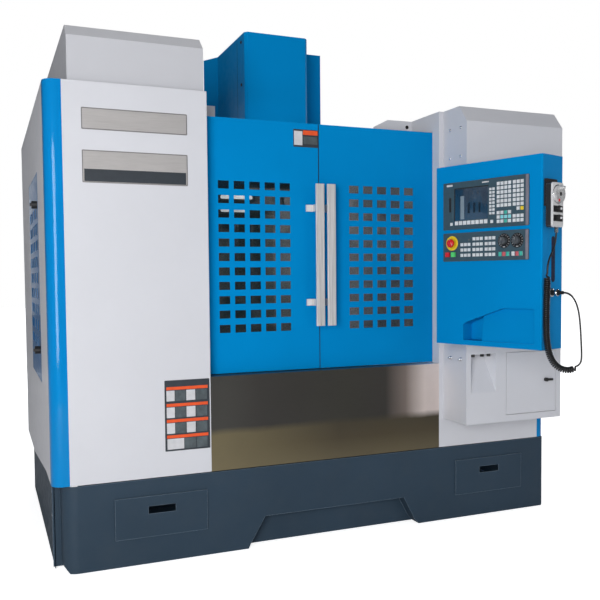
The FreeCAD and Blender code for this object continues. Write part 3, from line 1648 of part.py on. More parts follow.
def handwheel():
    out = holder_thickness + unit_thickness
    base = out + wheel_gap
    r = wheel_radius
    t = wheel_thickness
    profile = [(0, -11), (8, -11), (8, wheel_gap), (r, wheel_gap), (r, wheel_gap + t),
               (0, wheel_gap + t)]
    disc = revolve(profile, end_point(wheel_s, out, wheel_z), X_AXIS)
    crank = flat_sided(end_point(wheel_s, base + t - 5, wheel_z + crank_offset), X_AXIS,
                       crank_radius, crank_length, 12)
    return pendant_place(fuse(disc, crank))


def selector(z):
    out = holder_thickness + unit_thickness
    gap = seat_gap
    shaft = rod(end_point(wheel_s, out - 11, z), X_AXIS, 4, 12 + gap)
    disc = flat_sided(end_point(wheel_s, out + gap, z), X_AXIS, selector_radius,
                      selector_height - 4, 16)
    bar = end_box(wheel_s - selector_radius + 1, wheel_s + selector_radius - 1,
                  out + gap + selector_height - 5, out + gap + selector_height, z - 3.5, z + 3.5)
    return pendant_place(fuse(disc, shaft, bar))


def cord_plug():
    start = end_point(plug_s, 0, plug_z)
    flange = flat_sided(start, X_AXIS, plug_flange, plug_flange_thickness, 12)
    body = flat_sided(start, X_AXIS, plug_radius, plug_length - plug_neck, 12)
    neck = flat_sided(start, X_AXIS, plug_radius - 4, plug_length, 12)
    return pendant_place(fuse(flange, body, neck))


# ---------------------------------------------------------------- cord
def cord_path(points, label):
    """Straight runs joined by tangent arcs, each as large as its two runs allow."""
    tangents = []
    radii = []
    for index in range(1, len(points) - 1):
        before = points[index - 1] - points[index]
        after = points[index + 1] - points[index]
        angle = math.pi - before.getAngle(after)
        reach = 0.45 * min(before.Length, after.Length)
        radii.append(reach / math.tan(angle / 2))
        a = points[index] + before.normalize() * reach
        b = points[index] + after.normalize() * reach
        bisector = (before + after).normalize()
        radius = radii[-1]
        depth = radius / math.cos(angle / 2) - radius
        tangents.append((a, points[index] + bisector * depth, b))
    edges = []
    last = points[0]
    for a, middle, b in tangents:
        edges.append(Part.LineSegment(last, a).toShape())
        edges.append(Part.Arc(a, middle, b).toShape())
        last = b
    edges.append(Part.LineSegment(last, points[-1]).toShape())
    wire = Part.Wire(edges)
    print(label, "length", round(wire.Length, 1), "smallest radius", round(min(radii), 1))
    return wire


def cord_tube(route, diameter, sides, label):
    points = [end_point(s, out, z) for s, out, z in route]
    wire = cord_path(points, label)
    first = (points[1] - points[0]).normalize()
    pipe = wire.makePipeShell([ring(points[0], first, diameter / 2, sides)], True, False)
    solid = Part.Solid(pipe) if pipe.ShapeType != "Solid" else pipe
    section = sides * diameter ** 2 / 8 * math.sin(2 * math.pi / sides)
    print(label, "volume over section x length", round(solid.Volume / section / wire.Length, 4))
    return pendant_place(solid)


# ---------------------------------------------------------------- derived places
bed_back_y = side_depth - rear_clearance
saddle_top = way_seat_z + block_height + saddle_height
table_top = saddle_top + block_height + table_thickness
y_screw_z = way_seat_z - 10.0
x_screw_z = saddle_top - 8.0
z_screw_y = column_front_y + 12.0
beam_front_y = door_y + door_return + 27.0
beam_top_z = door_top - beam_top_below_door
rail_z = beam_top_z - beam_height / 2
pendant_left_x = hinge_x - pendant_overhang
pendant_face_y = hinge_y - pendant_back_gap - pendant_depth
lead_start_s = lead_route[0][0]
lead_start_out = lead_route[0][1]
left_door_x0 = left_jamb_x - door_overlap
right_door_x1 = right_jamb_x + door_overlap


def build():
    os.makedirs("parts", exist_ok=True)
    save("bed_casting", bed_casting())
    save("levelling_pads", levelling_pads())
    save("column_casting", column_casting())
    save("guide_rails", guide_rails())
    save("drive_motors", drive_motors())
    y_length = column_front_y - bed_front_y
    save("y_ball_screw", ball_screw(Vector(0, bed_front_y, y_screw_z), Y_AXIS, y_length, 1))
    z_length = column_top - z_rail_bottom
    save("z_ball_screw", ball_screw(Vector(0, z_screw_y, z_rail_bottom), Z_AXIS, z_length, 1))
    save("x_ball_screw", ball_screw(Vector(-saddle_half_length, spindle_y, x_screw_z), X_AXIS,
                                    2 * saddle_half_length, 1))
    save("saddle", saddle())
    save("table", table())
    save("head_casting", head_casting())
    save("spindle", spindle())
    save("spindle_motor", spindle_motor())
    save("head_cover", head_cover())
    save("tool_carousel", tool_carousel())

    save("front_skirt", front_skirt())
    save("left_chip_drawer", chip_drawer(left_drawer_x, left_drawer_width))
    save("right_chip_drawer", chip_drawer(right_drawer_x, right_drawer_width))
    save("base_plates", base_plates())
    save("left_front_panel", left_front_panel())
    save("right_front_panel", right_front_panel())
    save("corner_strips", corner_strips())
    save("left_side_panel", left_side_panel())
    save("right_side_panel", right_side_panel())
    save("left_hood", left_hood())
    save("service_door", service_door())
    save("upper_service_knob", service_knob(knob_top_z))
    save("lower_service_knob", service_knob(knob_bottom_z))
    save("electrical_cabinet", electrical_cabinet())
    save("cabinet_door", cabinet_door())

    save("apron", apron())
    save("door_rail", door_rail())
    save("left_door", sliding_door(left_door_x0, -door_meeting_gap, left_window_x,
                                   left_window_pitch, -1))
    save("right_door", sliding_door(door_meeting_gap, right_door_x1, right_window_x,
                                    right_window_pitch, 1))
    save("left_window", window_pane(left_window_x, left_window_pitch))
    save("right_window", window_pane(right_window_x, right_window_pitch))
    save("left_handle", door_handle(-1, left_handle_from_meeting))
    save("right_handle", door_handle(1, right_handle_from_meeting))

    save("console_column", console_column())
    save("console_door", console_door())
    save("console_latch", console_latch())
    save("coolant_ports", coolant_ports())

    save("pendant_box", pendant_box())
    save("operator_panels", operator_panels())
    save("screen", screen())
    save("panel_keys", panel_keys())
    save("emergency_stop", emergency_stop())
    save("red_button", push_button(push_red_x))
    save("green_button", push_button(push_green_x))
    save("feed_dial", override_dial(feed_dial_x))
    save("speed_dial", override_dial(speed_dial_x))
    save("handwheel_holder", handwheel_holder())
    save("handwheel_body", handwheel_body())
    save("handwheel", handwheel())
    save("axis_selector", selector(axis_selector_z))
    save("step_selector", selector(step_selector_z))
    save("handwheel_lead", cord_tube(lead_route, lead_diameter, cord_sides,
                                      "handwheel lead"))
    save("handwheel_coil", cord_tube(coil_route, coil_diameter, coil_sides,
                                      "handwheel coil"))
    save("handwheel_tail", cord_tube(tail_route, lead_diameter, cord_sides,
                                      "handwheel tail"))
    save("cord_plug", cord_plug())
    print("middle of the box", round(overall.Center.x, 2), round(overall.Center.y, 2),
          "lowest", round(overall.ZMin, 3))


build()
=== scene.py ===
import bpy
import bmesh
import json
import math
from mathutils import Matrix, Vector

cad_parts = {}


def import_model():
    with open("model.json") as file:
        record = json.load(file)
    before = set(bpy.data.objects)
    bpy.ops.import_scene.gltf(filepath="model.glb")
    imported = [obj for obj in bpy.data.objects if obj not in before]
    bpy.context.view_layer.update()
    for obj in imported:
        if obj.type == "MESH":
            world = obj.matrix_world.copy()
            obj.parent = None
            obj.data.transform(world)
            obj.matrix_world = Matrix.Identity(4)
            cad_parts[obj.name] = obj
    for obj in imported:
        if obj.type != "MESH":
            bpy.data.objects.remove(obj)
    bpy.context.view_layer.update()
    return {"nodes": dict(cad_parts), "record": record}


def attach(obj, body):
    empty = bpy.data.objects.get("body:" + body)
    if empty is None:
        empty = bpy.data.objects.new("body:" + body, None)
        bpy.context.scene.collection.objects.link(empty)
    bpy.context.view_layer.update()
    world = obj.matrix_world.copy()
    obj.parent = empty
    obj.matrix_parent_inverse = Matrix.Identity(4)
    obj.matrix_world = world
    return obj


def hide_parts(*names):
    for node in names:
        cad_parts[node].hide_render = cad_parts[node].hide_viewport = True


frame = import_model()

# Places are given in millimetres on the machine's front plane: X = 0 where the doors meet,
# Y = 0 at the front sheets, Z = 0 on the floor. SHIFT takes them to the CAD frame.
SHIFT = Vector((-8.0, -663.0, 0.0))
X = Vector((1, 0, 0))
UP = Vector((0, 0, 1))
LEFTWARDS = Vector((-1, 0, 0))
FORWARDS = Vector((0, -1, 0))

# The pendant in its closed place, and the hinge line and angle of its rest pose.
PENDANT = "pendant"
PENDANT_LEFT = 559.0
PENDANT_FACE = -349.0
PENDANT_WIDTH = 520.0
HINGE = Vector((599.0, -194.0, 0.0))
OPEN_ANGLE = math.radians(-71.74)
# The operator plates' thickness.
PLATE = 5.0


def mm(x, y, z):
    """A place in mm on the front plane, as a point in metres."""
    return (Vector((x, y, z)) + SHIFT) / 1000


def turned(x, y, z):
    """A point of the closed pendant, swung out to where it rests."""
    offset = Vector((x, y, 0)) - HINGE
    offset.rotate(Matrix.Rotation(OPEN_ANGLE, 3, "Z"))
    return mm(HINGE.x + offset.x, HINGE.y + offset.y, z)


def on_face(u, z, out=PLATE):
    """A point u mm from the left edge of the pendant's face, and out mm before the face."""
    return turned(PENDANT_LEFT + u, PENDANT_FACE - out, z)


def on_end(s, out, z):
    """A point s mm behind the pendant's face, and out mm off its right end."""
    return turned(PENDANT_LEFT + PENDANT_WIDTH + out, PENDANT_FACE + s, z)


FACE_U = (on_face(1, 0) - on_face(0, 0)).normalized()
FACE_N = (on_face(0, 0, 1) - on_face(0, 0, 0)).normalized()
END_S = (on_end(1, 0, 0) - on_end(0, 0, 0)).normalized()
END_N = FACE_U


# ---------------------------------------------------------------- materials
# Sockets of the colour mix node.
MIX_FACTOR = 0
MIX_A = 6
MIX_B = 7
MIX_RESULT = 2
# Cosines between the rounded and the flat normal where an edge's paler colour, wear with a painted
# highlight, starts and is full.
WEAR_AND_HIGHLIGHT_START = 0.995
WEAR_AND_HIGHLIGHT_FULL = 0.80
# Radii of the shaded edges and depths of the surface grain, in metres.
PAINT_EDGE = 0.0012
METAL_EDGE = 0.0008
PLASTIC_EDGE = 0.0006
PAINT_PEEL = 0.0004
METAL_GROOVE = 0.0002
PLASTIC_GRAIN = 0.00015


class Nodes:
    """A small helper that builds one node tree."""

    def __init__(self, name):
        self.material = bpy.data.materials.new(name)
        self.material.use_nodes = True
        self.tree = self.material.node_tree
        self.tree.nodes.clear()
        self.out = self.add("ShaderNodeOutputMaterial")
        self.bsdf = self.add("ShaderNodeBsdfPrincipled")
        self.link(self.bsdf, "BSDF", self.out, "Surface")
        self.coords = self.add("ShaderNodeTexCoord")

    def add(self, kind, **values):
        node = self.tree.nodes.new(kind)
        for key, value in values.items():
            setattr(node, key, value)
        return node

    def link(self, a, out_name, b, in_name):
        self.tree.links.new(a.outputs[out_name], b.inputs[in_name])

    def fixed(self, values):
        """Sets what is the same all over on the shader's own sockets."""
        for name, value in values.items():
            self.bsdf.inputs[name].default_value = value

    def base_color(self, socket):
        self.tree.links.new(socket, self.bsdf.inputs["Base Color"])

    def roughness(self, source, low, high):
        gloss = self.range(source, "Fac", low, high)
        self.link(gloss, "Result", self.bsdf, "Roughness")

    def noise(self, scale, detail, rough=0.55, stretch=(1, 1, 1)):
        node = self.add("ShaderNodeTexNoise")
        node.inputs["Scale"].default_value = scale
        node.inputs["Detail"].default_value = detail
        node.inputs["Roughness"].default_value = rough
        mapping = self.add("ShaderNodeMapping")
        mapping.inputs["Scale"].default_value = stretch
        self.link(self.coords, "Object", mapping, "Vector")
        self.link(mapping, "Vector", node, "Vector")
        return node

    def split(self):
        """The place on the object as X, Y and Z in metres."""
        node = self.add("ShaderNodeSeparateXYZ")
        self.link(self.coords, "Object", node, "Vector")
        return node

    def ramp(self, source, out_name, stops):
        node = self.add("ShaderNodeValToRGB")
        elements = node.color_ramp.elements
        while len(elements) < len(stops):
            elements.new(0.5)
        for element, (place, color) in zip(elements, stops):
            element.position = place
            element.color = (*color, 1)
        self.link(source, out_name, node, "Fac")
        return node

    def range(self, source, out_name, low, high, from_low=0.3, from_high=0.7):
        node = self.add("ShaderNodeMapRange")
        node.inputs["From Min"].default_value = from_low
        node.inputs["From Max"].default_value = from_high
        node.inputs["To Min"].default_value = low
        node.inputs["To Max"].default_value = high
        self.link(source, out_name, node, "Value")
        return node

    def bump(self, source, out_name, strength, distance, bevel=0.0):
        node = self.add("ShaderNodeBump")
        node.inputs["Strength"].default_value = strength
        node.inputs["Distance"].default_value = distance
        self.link(source, out_name, node, "Height")
        if bevel:
            round_off = self.add("ShaderNodeBevel", samples=4)
            round_off.inputs["Radius"].default_value = bevel
            self.link(round_off, "Normal", node, "Normal")
        self.link(node, "Normal", self.bsdf, "Normal")

    def edges(self, radius):
        """A mask that is 1 at sharp edges and 0 on flats."""
        bevel = self.add("ShaderNodeBevel", samples=4)
        bevel.inputs["Radius"].default_value = radius
        geometry = self.add("ShaderNodeNewGeometry")
        dot = self.add("ShaderNodeVectorMath", operation="DOT_PRODUCT")
        self.link(bevel, "Normal", dot, 0)
        self.link(geometry, "Normal", dot, 1)
        return self.range(dot, "Value", 0.0, 1.0, WEAR_AND_HIGHLIGHT_START, WEAR_AND_HIGHLIGHT_FULL)

    def mix(self, fac_node, fac_out, a, b):
        """Mixes two colours, each a tuple or a socket."""
        node = self.add("ShaderNodeMix", data_type="RGBA")
        self.link(fac_node, fac_out, node, MIX_FACTOR)
        for index, color in ((MIX_A, a), (MIX_B, b)):
            if isinstance(color, tuple):
                node.inputs[index].default_value = (*color, 1)
            else:
                self.tree.links.new(color, node.inputs[index])
        return node.outputs[MIX_RESULT]


def shade(color, factor):
    return tuple(min(1.0, c * factor) for c in color)


def around(color, vary, low=0.3, high=0.7):
    """Two ramp stops, a darker and a paler shade of one colour."""
    return [(low, shade(color, 1 - vary)), (high, shade(color, 1 + vary))]


def paint(name, color, rough, coat=0.0, grain=0.15, grain_scale=900.0, vary=0.08,
          wear_and_highlight=None, wear_and_highlight_radius=0.0015, dirt=None, shine=0.35, tint=(1, 1, 1),
          coat_rough=0.12):
    """Powder coat: slow colour drift, fine orange peel, paler rubbed edges that also carry a
    painted highlight, faint dust.
    """
    n = Nodes(name)
    drift = n.ramp(n.noise(1.6, 3.0), "Fac", around(color, vary))
    base = drift.outputs["Color"]
    if dirt:
        dust, most = dirt
        amount = n.range(n.noise(9.0, 8.0, 0.7), "Fac", 0.0, most, 0.45, 0.8)
        base = n.mix(amount, "Result", base, dust)
    # Paler edges: rubbed paint, and a painted highlight along them.
    if wear_and_highlight:
        base = n.mix(n.edges(wear_and_highlight_radius), "Result", base, wear_and_highlight)
    n.base_color(base)
    n.roughness(n.noise(24.0, 5.0), rough * 0.85, rough * 1.2)
    n.fixed({"Specular IOR Level": shine, "Specular Tint": (*tint, 1), "Coat Weight": coat,
             "Coat Roughness": coat_rough})
    n.bump(n.noise(grain_scale, 2.0), "Fac", grain, PAINT_PEEL, PAINT_EDGE)
    return n.material


def brushed(name, color, rough, along, scale=30.0, stains=0.10, metallic=1.0,
            contrast=0.13):
    """Ground or brushed metal: streaks along one axis, a few slow stains."""
    n = Nodes(name)
    streak = n.noise(scale, 6.0, 0.65, along)
    tint = n.ramp(streak, "Fac", around(color, contrast, 0.25, 0.75))
    stain = n.range(n.noise(4.0, 4.0), "Fac", 0.0, stains, 0.5, 0.8)
    n.base_color(n.mix(stain, "Result", tint.outputs["Color"], shade(color, 0.55)))
    n.fixed({"Metallic": metallic})
    n.roughness(streak, rough * 0.7, rough * 1.35)
    n.bump(streak, "Fac", 0.12, METAL_GROOVE, METAL_EDGE)
    return n.material


def plastic(name, color, rough, grain=0.2, vary=0.07, coat=0.0, wear_and_highlight=None):
    """Moulded plastic: slow colour drift, fine grain, and paler edges, rubbed and with a painted
    highlight, where given.
    """
    n = Nodes(name)
    tint = n.ramp(n.noise(40.0, 3.0), "Fac", around(color, vary))
    base = tint.outputs["Color"]
    # Paler edges: rubbed plastic, and a painted highlight along them.
    if wear_and_highlight:
        base = n.mix(n.edges(PLASTIC_EDGE), "Result", base, wear_and_highlight)
    n.base_color(base)
    n.roughness(n.noise(90.0, 3.0), rough * 0.85, rough * 1.2)
    n.fixed({"Coat Weight": coat})
    n.bump(n.noise(1500.0, 2.0), "Fac", grain, PLASTIC_GRAIN, PLASTIC_EDGE)
    return n.material


BLUE = (0.0004, 0.232, 0.565)
BLUE_SHINE = (0.05, 0.55, 1.0)
WHITE = (0.640, 0.645, 0.680)
DARK = (0.032, 0.055, 0.082)

blue_paint = paint("blue_paint", BLUE, 0.42, grain=0.08, vary=0.05, wear_and_highlight=(0.02, 0.30, 0.66),
                   shine=0.14, tint=BLUE_SHINE)
gloss_blue = paint("gloss_blue", (0.0006, 0.215, 0.545), 0.35, coat=0.40, coat_rough=0.07,
                   grain=0.05, vary=0.04, wear_and_highlight=(0.05, 0.34, 0.70), shine=0.14, tint=BLUE_SHINE)
white_paint = paint("white_paint", WHITE, 0.45, grain=0.22, grain_scale=1300, vary=0.02,
                    wear_and_highlight=(0.74, 0.74, 0.76), dirt=((0.52, 0.52, 0.55), 0.10), shine=0.3)
# Its broad pale edges are rubbed paint and, mostly, a painted highlight on raised edges.
dark_paint = paint("dark_paint", DARK, 0.48, grain=0.25, grain_scale=1000, vary=0.10,
                   wear_and_highlight=(0.22, 0.29, 0.36), wear_and_highlight_radius=0.0032,
                   dirt=((0.06, 0.075, 0.09), 0.25), shine=0.15)
# The left hood's white is the white paint darkened: painted shade on its sloping front.
shaded_hood_white = paint("shaded_hood_white", shade(WHITE, 0.86), 0.45, grain=0.22, grain_scale=1300,
                   vary=0.02, wear_and_highlight=(0.74, 0.74, 0.76), dirt=((0.50, 0.50, 0.53), 0.10),
                   shine=0.3)
service_blue = paint("service_blue", (0.012, 0.13, 0.34), 0.38, coat=0.2, wear_and_highlight=(0.1, 0.3, 0.6),
                     shine=0.2)
motor_black = paint("motor_black", (0.02, 0.02, 0.023), 0.5, grain=0.3, wear_and_highlight=(0.1, 0.1, 0.1))
casting = paint("casting", (0.36, 0.39, 0.40), 0.6, grain=0.6, grain_scale=260, vary=0.12,
                wear_and_highlight=(0.5, 0.5, 0.5), dirt=((0.12, 0.11, 0.10), 0.35))
ground_steel = brushed("ground_steel", (0.50, 0.51, 0.53), 0.28, (40, 40, 1))
table_steel = brushed("table_steel", (0.52, 0.52, 0.53), 0.32, (1, 50, 50))
polished = brushed("polished_metal", (0.72, 0.72, 0.74), 0.16, (60, 60, 8), stains=0.05)
handle_alloy = brushed("handle_alloy", (0.66, 0.64, 0.63), 0.38, (9, 9, 0.2), 20.0, metallic=0.4,
                       contrast=0.30)
wheel_alloy = brushed("wheel_alloy", (0.70, 0.70, 0.70), 0.3, (30, 30, 30), 6.0, metallic=0.4)
handle_white = paint("handle_white", (0.72, 0.71, 0.72), 0.35, grain=0.1, vary=0.02)
panel_grey = plastic("panel_grey", (0.034, 0.074, 0.100), 0.55, vary=0.06,
                     wear_and_highlight=(0.10, 0.15, 0.19))
black_plastic = plastic("black_plastic", (0.013, 0.013, 0.014), 0.42, wear_and_highlight=(0.05, 0.05, 0.05))
red_plastic = plastic("red_plastic", (0.62, 0.012, 0.016), 0.28, coat=0.3)
green_plastic = plastic("green_plastic", (0.09, 0.62, 0.16), 0.3, coat=0.3)
yellow_plastic = plastic("yellow_plastic", (0.78, 0.56, 0.02), 0.38)
key_plastic = plastic("key_plastic", (0.66, 0.68, 0.70), 0.5, wear_and_highlight=(0.78, 0.79, 0.8))
cyan_plastic = plastic("cyan_plastic", (0.25, 0.66, 0.70), 0.5)
sea_plastic = plastic("sea_plastic", (0.05, 0.42, 0.34), 0.45)
rose_plastic = plastic("rose_plastic", (0.52, 0.10, 0.12), 0.45)
dial_grey = plastic("dial_grey", (0.075, 0.085, 0.095), 0.45, wear_and_highlight=(0.2, 0.2, 0.21))
strip_grey = plastic("strip_grey", (0.20, 0.19, 0.23), 0.5, vary=0.1)
cord_rubber = plastic("cord_rubber", (0.008, 0.008, 0.009), 0.42, grain=0.3, coat=0.05)
# Near-black navy: painted shade for the pendant's side slot.
slot_shade_navy = plastic("slot_shade_navy", (0.003, 0.008, 0.040), 0.6)
badge_steel = brushed("badge_steel", (0.47, 0.45, 0.44), 0.55, (1, 1, 30), 14.0, metallic=0.35)
badge_rim = brushed("badge_rim", (0.24, 0.23, 0.23), 0.5, (1, 1, 40), 14.0, metallic=0.4)
badge_dark = plastic("badge_dark", (0.028, 0.036, 0.046), 0.5)
label_orange = plastic("label_orange", (0.80, 0.085, 0.012), 0.5)
label_pale = plastic("label_pale", (0.60, 0.60, 0.62), 0.5)
label_grey = plastic("label_grey", (0.075, 0.095, 0.105), 0.5, vary=0.25)
# Near black: the dark seams' joints, and painted shade in the header stub's hole.
gap_and_shade_black = plastic("gap_and_shade_black", (0.004, 0.004, 0.005), 0.8)

# The apron's ends, foot and top in metres, and its painted reflections of the room:
# UPPER_REFLECTION from left to right over its upper half, LOWER_REFLECTION from the middle down to
# its foot.
APRON_LEFT = -0.478
APRON_RIGHT = 0.562
APRON_LOW = 0.36
APRON_HIGH = 0.75
UPPER_REFLECTION = [(0.0, (0.082, 0.080, 0.072)), (0.16, (0.064, 0.060, 0.055)),
         (0.55, (0.054, 0.052, 0.043)), (0.74, (0.052, 0.048, 0.043)),
         (0.84, (0.260, 0.210, 0.185)), (0.94, (0.900, 0.780, 0.720))]
LOWER_REFLECTION = [(0.55, (0.080, 0.068, 0.044)), (0.78, (0.105, 0.084, 0.050)),
         (1.0, (0.175, 0.145, 0.085))]
# WARM_REFLECTION is the floor's painted reflection at the left; RUBBED and STREAK are rub marks
# and brushing.
WARM_REFLECTION = (0.290, 0.240, 0.130)
RUBBED = (0.10, 0.09, 0.075)
STREAK = (0.22, 0.20, 0.18)


def stainless_material():
    """Brushed stainless: fine level streaks and cloudy rub marks. Its colour holds a painted
    reflection: a dark room above, with a bright wall at the right end, and a floor below
    that is warmer towards the left."""
    n = Nodes("stainless")
    streak = n.noise(26.0, 7.0, 0.7, (1, 20, 70))
    cloud = n.noise(3.2, 6.0, 0.6)
    split = n.split()
    # Painted reflection: the room across the upper half, the warm floor below.
    across = n.range(split, "X", 0.0, 1.0, APRON_LEFT, APRON_RIGHT)
    high = n.ramp(across, "Result", UPPER_REFLECTION)
    height = n.range(split, "Z", 1.0, 0.0, APRON_LOW, APRON_HIGH)
    low = n.ramp(height, "Result", LOWER_REFLECTION)
    left = n.range(split, "X", 0.75, 0.0, APRON_LEFT, 0.05)
    warm_floor_reflection = n.mix(left, "Result", low.outputs["Color"], WARM_REFLECTION)
    wave = n.add("ShaderNodeMath", operation="MULTIPLY_ADD")
    wave.inputs[1].default_value = 0.10
    n.link(cloud, "Fac", wave, 0)
    n.link(height, "Result", wave, 2)
    below = n.range(wave, "Value", 0.0, 1.0, 0.60, 0.68)
    painted_reflection = n.mix(below, "Result", high.outputs["Color"], warm_floor_reflection)
    rub = n.range(cloud, "Fac", 0.0, 0.14, 0.4, 0.75)
    base = n.mix(rub, "Result", painted_reflection, RUBBED)
    fine = n.range(streak, "Fac", 0.0, 0.07)
    n.base_color(n.mix(fine, "Result", base, STREAK))
    n.fixed({"Metallic": 0.7})
    n.roughness(cloud, 0.30, 0.44)
    n.bump(streak, "Fac", 0.08, METAL_GROOVE, METAL_EDGE)
    return n.material


def glass_material():
    """Tinted pane, see-through, with a faint film of coolant haze."""
    n = Nodes("window_glass")
    film = n.noise(6.0, 6.0, 0.65)
    tint = n.ramp(film, "Fac", [(0.3, (0.001, 0.007, 0.010)), (0.8, (0.004, 0.016, 0.020))])
    n.base_color(tint.outputs["Color"])
    n.roughness(film, 0.05, 0.22)
    haze = n.range(film, "Fac", 0.50, 0.66)
    n.link(haze, "Result", n.bsdf, "Alpha")
    n.fixed({"IOR": 1.45})
    n.bump(film, "Fac", 0.05, 0.0004)
    return n.material


SCREEN_LOW = 1.400
SCREEN_HIGH = 1.530


def screen_material():
    """A lit display: a dark blue field that pales downwards, with soft upright bands."""
    n = Nodes("screen_glass")
    height = n.range(n.split(), "Z", 0.0, 1.0, SCREEN_LOW, SCREEN_HIGH)
    field = n.ramp(height, "Result", [(0.0, (0.002, 0.030, 0.066)),
                                      (1.0, (0.0015, 0.010, 0.024))])
    bands = n.range(n.noise(30.0, 2.0, 0.5, (1, 1, 0.2)), "Fac", 0.0, 0.4)
    base = n.mix(bands, "Result", field.outputs["Color"], (0.004, 0.048, 0.10))
    n.base_color(base)
    n.tree.links.new(base, n.bsdf.inputs["Emission Color"])
    n.fixed({"Emission Strength": 0.4, "Roughness": 0.12, "Coat Weight": 0.6})
    n.bump(n.noise(900.0, 1.0), "Fac", 0.02, 0.0001)
    return n.material


# Where the painted shade on the handwheel unit's rear part fades into its pale cover, in metres
# off the pendant's end.
SHADE_FADE_START = 0.0335
SHADE_FADE_END = 0.0340


def shell_material():
    """Housing of the handwheel unit: a pale front cover, and a rear part painted black as painted
    shade.
    """
    n = Nodes("shaded_grey_shell")
    out = n.add("ShaderNodeVectorMath", operation="DOT_PRODUCT")
    out.inputs[1].default_value = tuple(END_N)
    n.link(n.coords, "Object", out, 0)
    end = on_end(0, 0, 0).dot(END_N)
    cover = n.range(out, "Value", 0.0, 1.0, end + SHADE_FADE_START, end + SHADE_FADE_END)
    slow = n.noise(60.0, 3.0)
    pale = n.ramp(slow, "Fac", [(0.3, (0.64, 0.64, 0.65)), (0.7, (0.72, 0.72, 0.72))])
    # The black rear part is painted shade; the pale grey edges are wear with a painted highlight.
    both = n.mix(cover, "Result", (0.020, 0.022, 0.026), pale.outputs["Color"])
    n.base_color(n.mix(n.edges(0.0008), "Result", both, (0.62, 0.62, 0.62)))
    n.roughness(slow, 0.30, 0.42)
    n.bump(n.noise(1400.0, 2.0), "Fac", 0.15, PLASTIC_GRAIN, 0.0012)
    return n.material


def glow_material():
    """The lit cover of a bar lamp, a little uneven in its tone."""
    n = Nodes("lamp_glow")
    tint = n.ramp(n.noise(35.0, 2.0), "Fac", [(0.3, (0.80, 0.88, 0.92)), (0.7, (0.95, 0.98, 1.0))])
    n.base_color(tint.outputs["Color"])
    n.link(tint, "Color", n.bsdf, "Emission Color")
    n.fixed({"Emission Strength": 3.0, "Roughness": 0.4})
    n.bump(n.noise(500.0, 2.0), "Fac", 0.1, 0.0002)
    return n.material


lamp_glow = glow_material()
lamp_case = brushed("lamp_case", (0.42, 0.43, 0.45), 0.35, (1, 40, 40), 16.0)
stainless = stainless_material()
shaded_grey_shell = shell_material()
window_glass = glass_material()
screen_glass = screen_material()
screen_dark = plastic("screen_dark", (0.002, 0.014, 0.030), 0.3)
screen_pale = plastic("screen_pale", (0.20, 0.26, 0.31), 0.35)

SLOT_MATERIALS = {
    "blue_paint": blue_paint, "white_paint": white_paint, "dark_paint": dark_paint,
    "stainless": stainless, "casting": casting, "ground_steel": ground_steel,
    "motor_black": motor_black, "handle_alloy": handle_alloy, "window_glass": window_glass,
    "panel_grey": panel_grey, "key_plastic": key_plastic, "screen_glass": screen_glass,
    "red_plastic": red_plastic, "green_plastic": green_plastic,
    "black_plastic": black_plastic, "handwheel_grey": shaded_grey_shell,
    "polished_metal": polished, "cord_skin": cord_rubber,
}
# Nodes whose finish differs from that of their slot; the left hood's darker white is painted
# shade.
NODE_MATERIALS = {
    "service_door": service_blue, "table": table_steel, "corner_strips": gloss_blue,
    "feed_dial": dial_grey, "speed_dial": dial_grey, "handwheel": wheel_alloy,
    "left_hood": shaded_hood_white, "handwheel_holder": black_plastic,
}
for entry in frame["record"]["subparts"]:
    node = frame["nodes"][entry["node"]]
    chosen = NODE_MATERIALS.get(entry["node"], SLOT_MATERIALS[entry["material_slot"]])
    if not node.material_slots:
        node.data.materials.append(chosen)
    for slot in node.material_slots:
        slot.material = chosen


# ---------------------------------------------------------------- mesh helpers
CORNER_STEPS = 5
LEAST_RADIUS = 0.05
LEAST_SIDE = 1e-5
PLATE_RIM = 0.4


def finish_mesh(name, bm, material, body, smooth=False):
    """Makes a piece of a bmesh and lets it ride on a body."""
    bmesh.ops.recalc_face_normals(bm, faces=bm.faces)
    mesh = bpy.data.meshes.new(name)
    bm.to_mesh(mesh)
    bm.free()
    if smooth:
        for polygon in mesh.polygons:
            polygon.use_smooth = True
    mesh.materials.append(material)
    piece = bpy.data.objects.new(name, mesh)
    bpy.context.scene.collection.objects.link(piece)
    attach(piece, body)
    return piece


def rounded_outline(width, height, radius):
    """Points of a rounded rectangle round its middle."""
    radius = min(radius, width / 2 - LEAST_SIDE, height / 2 - LEAST_SIDE)
    points = []
    for corner, (side_x, side_y) in enumerate(((1, 1), (-1, 1), (-1, -1), (1, -1))):
        middle_x = side_x * (width / 2 - radius)
        middle_y = side_y * (height / 2 - radius)
        for step in range(CORNER_STEPS + 1):
            angle = math.pi / 2 * (corner + step / CORNER_STEPS)
            points.append((middle_x + radius * math.cos(angle),
                           middle_y + radius * math.sin(angle)))
    return points


def loft(bm, rings):
    """Joins closed rings of points, each a list of vectors, into one closed skin."""
    made = [[bm.verts.new(p) for p in ring] for ring in rings]
    for low, high in zip(made, made[1:]):
        count = len(low)
        for i in range(count):
            j = (i + 1) % count
            bm.faces.new((low[i], low[j], high[j], high[i]))
    bm.faces.new(list(reversed(made[0])))
    bm.faces.new(made[-1])


def plate(name, centre, right, up, size, thick, radius, material, body,
          bevel=PLATE_RIM):
    """A rounded plate with a chamfered rim, its sizes in mm. It lies on the plane through
    centre and stands out to the side that right x up points to."""
    outward = right.cross(up).normalized()
    width, height = size
    bm = bmesh.new()
    rings = []
    for inset, lift in ((0, 0), (0, thick - bevel), (bevel, thick)):
        outline = rounded_outline(width - 2 * inset, height - 2 * inset,
                                  max(radius - inset, LEAST_RADIUS))
        rings.append([centre + (right * x + up * y + outward * lift) / 1000
                      for x, y in outline])
    loft(bm, rings)
    return finish_mesh(name, bm, material, body)


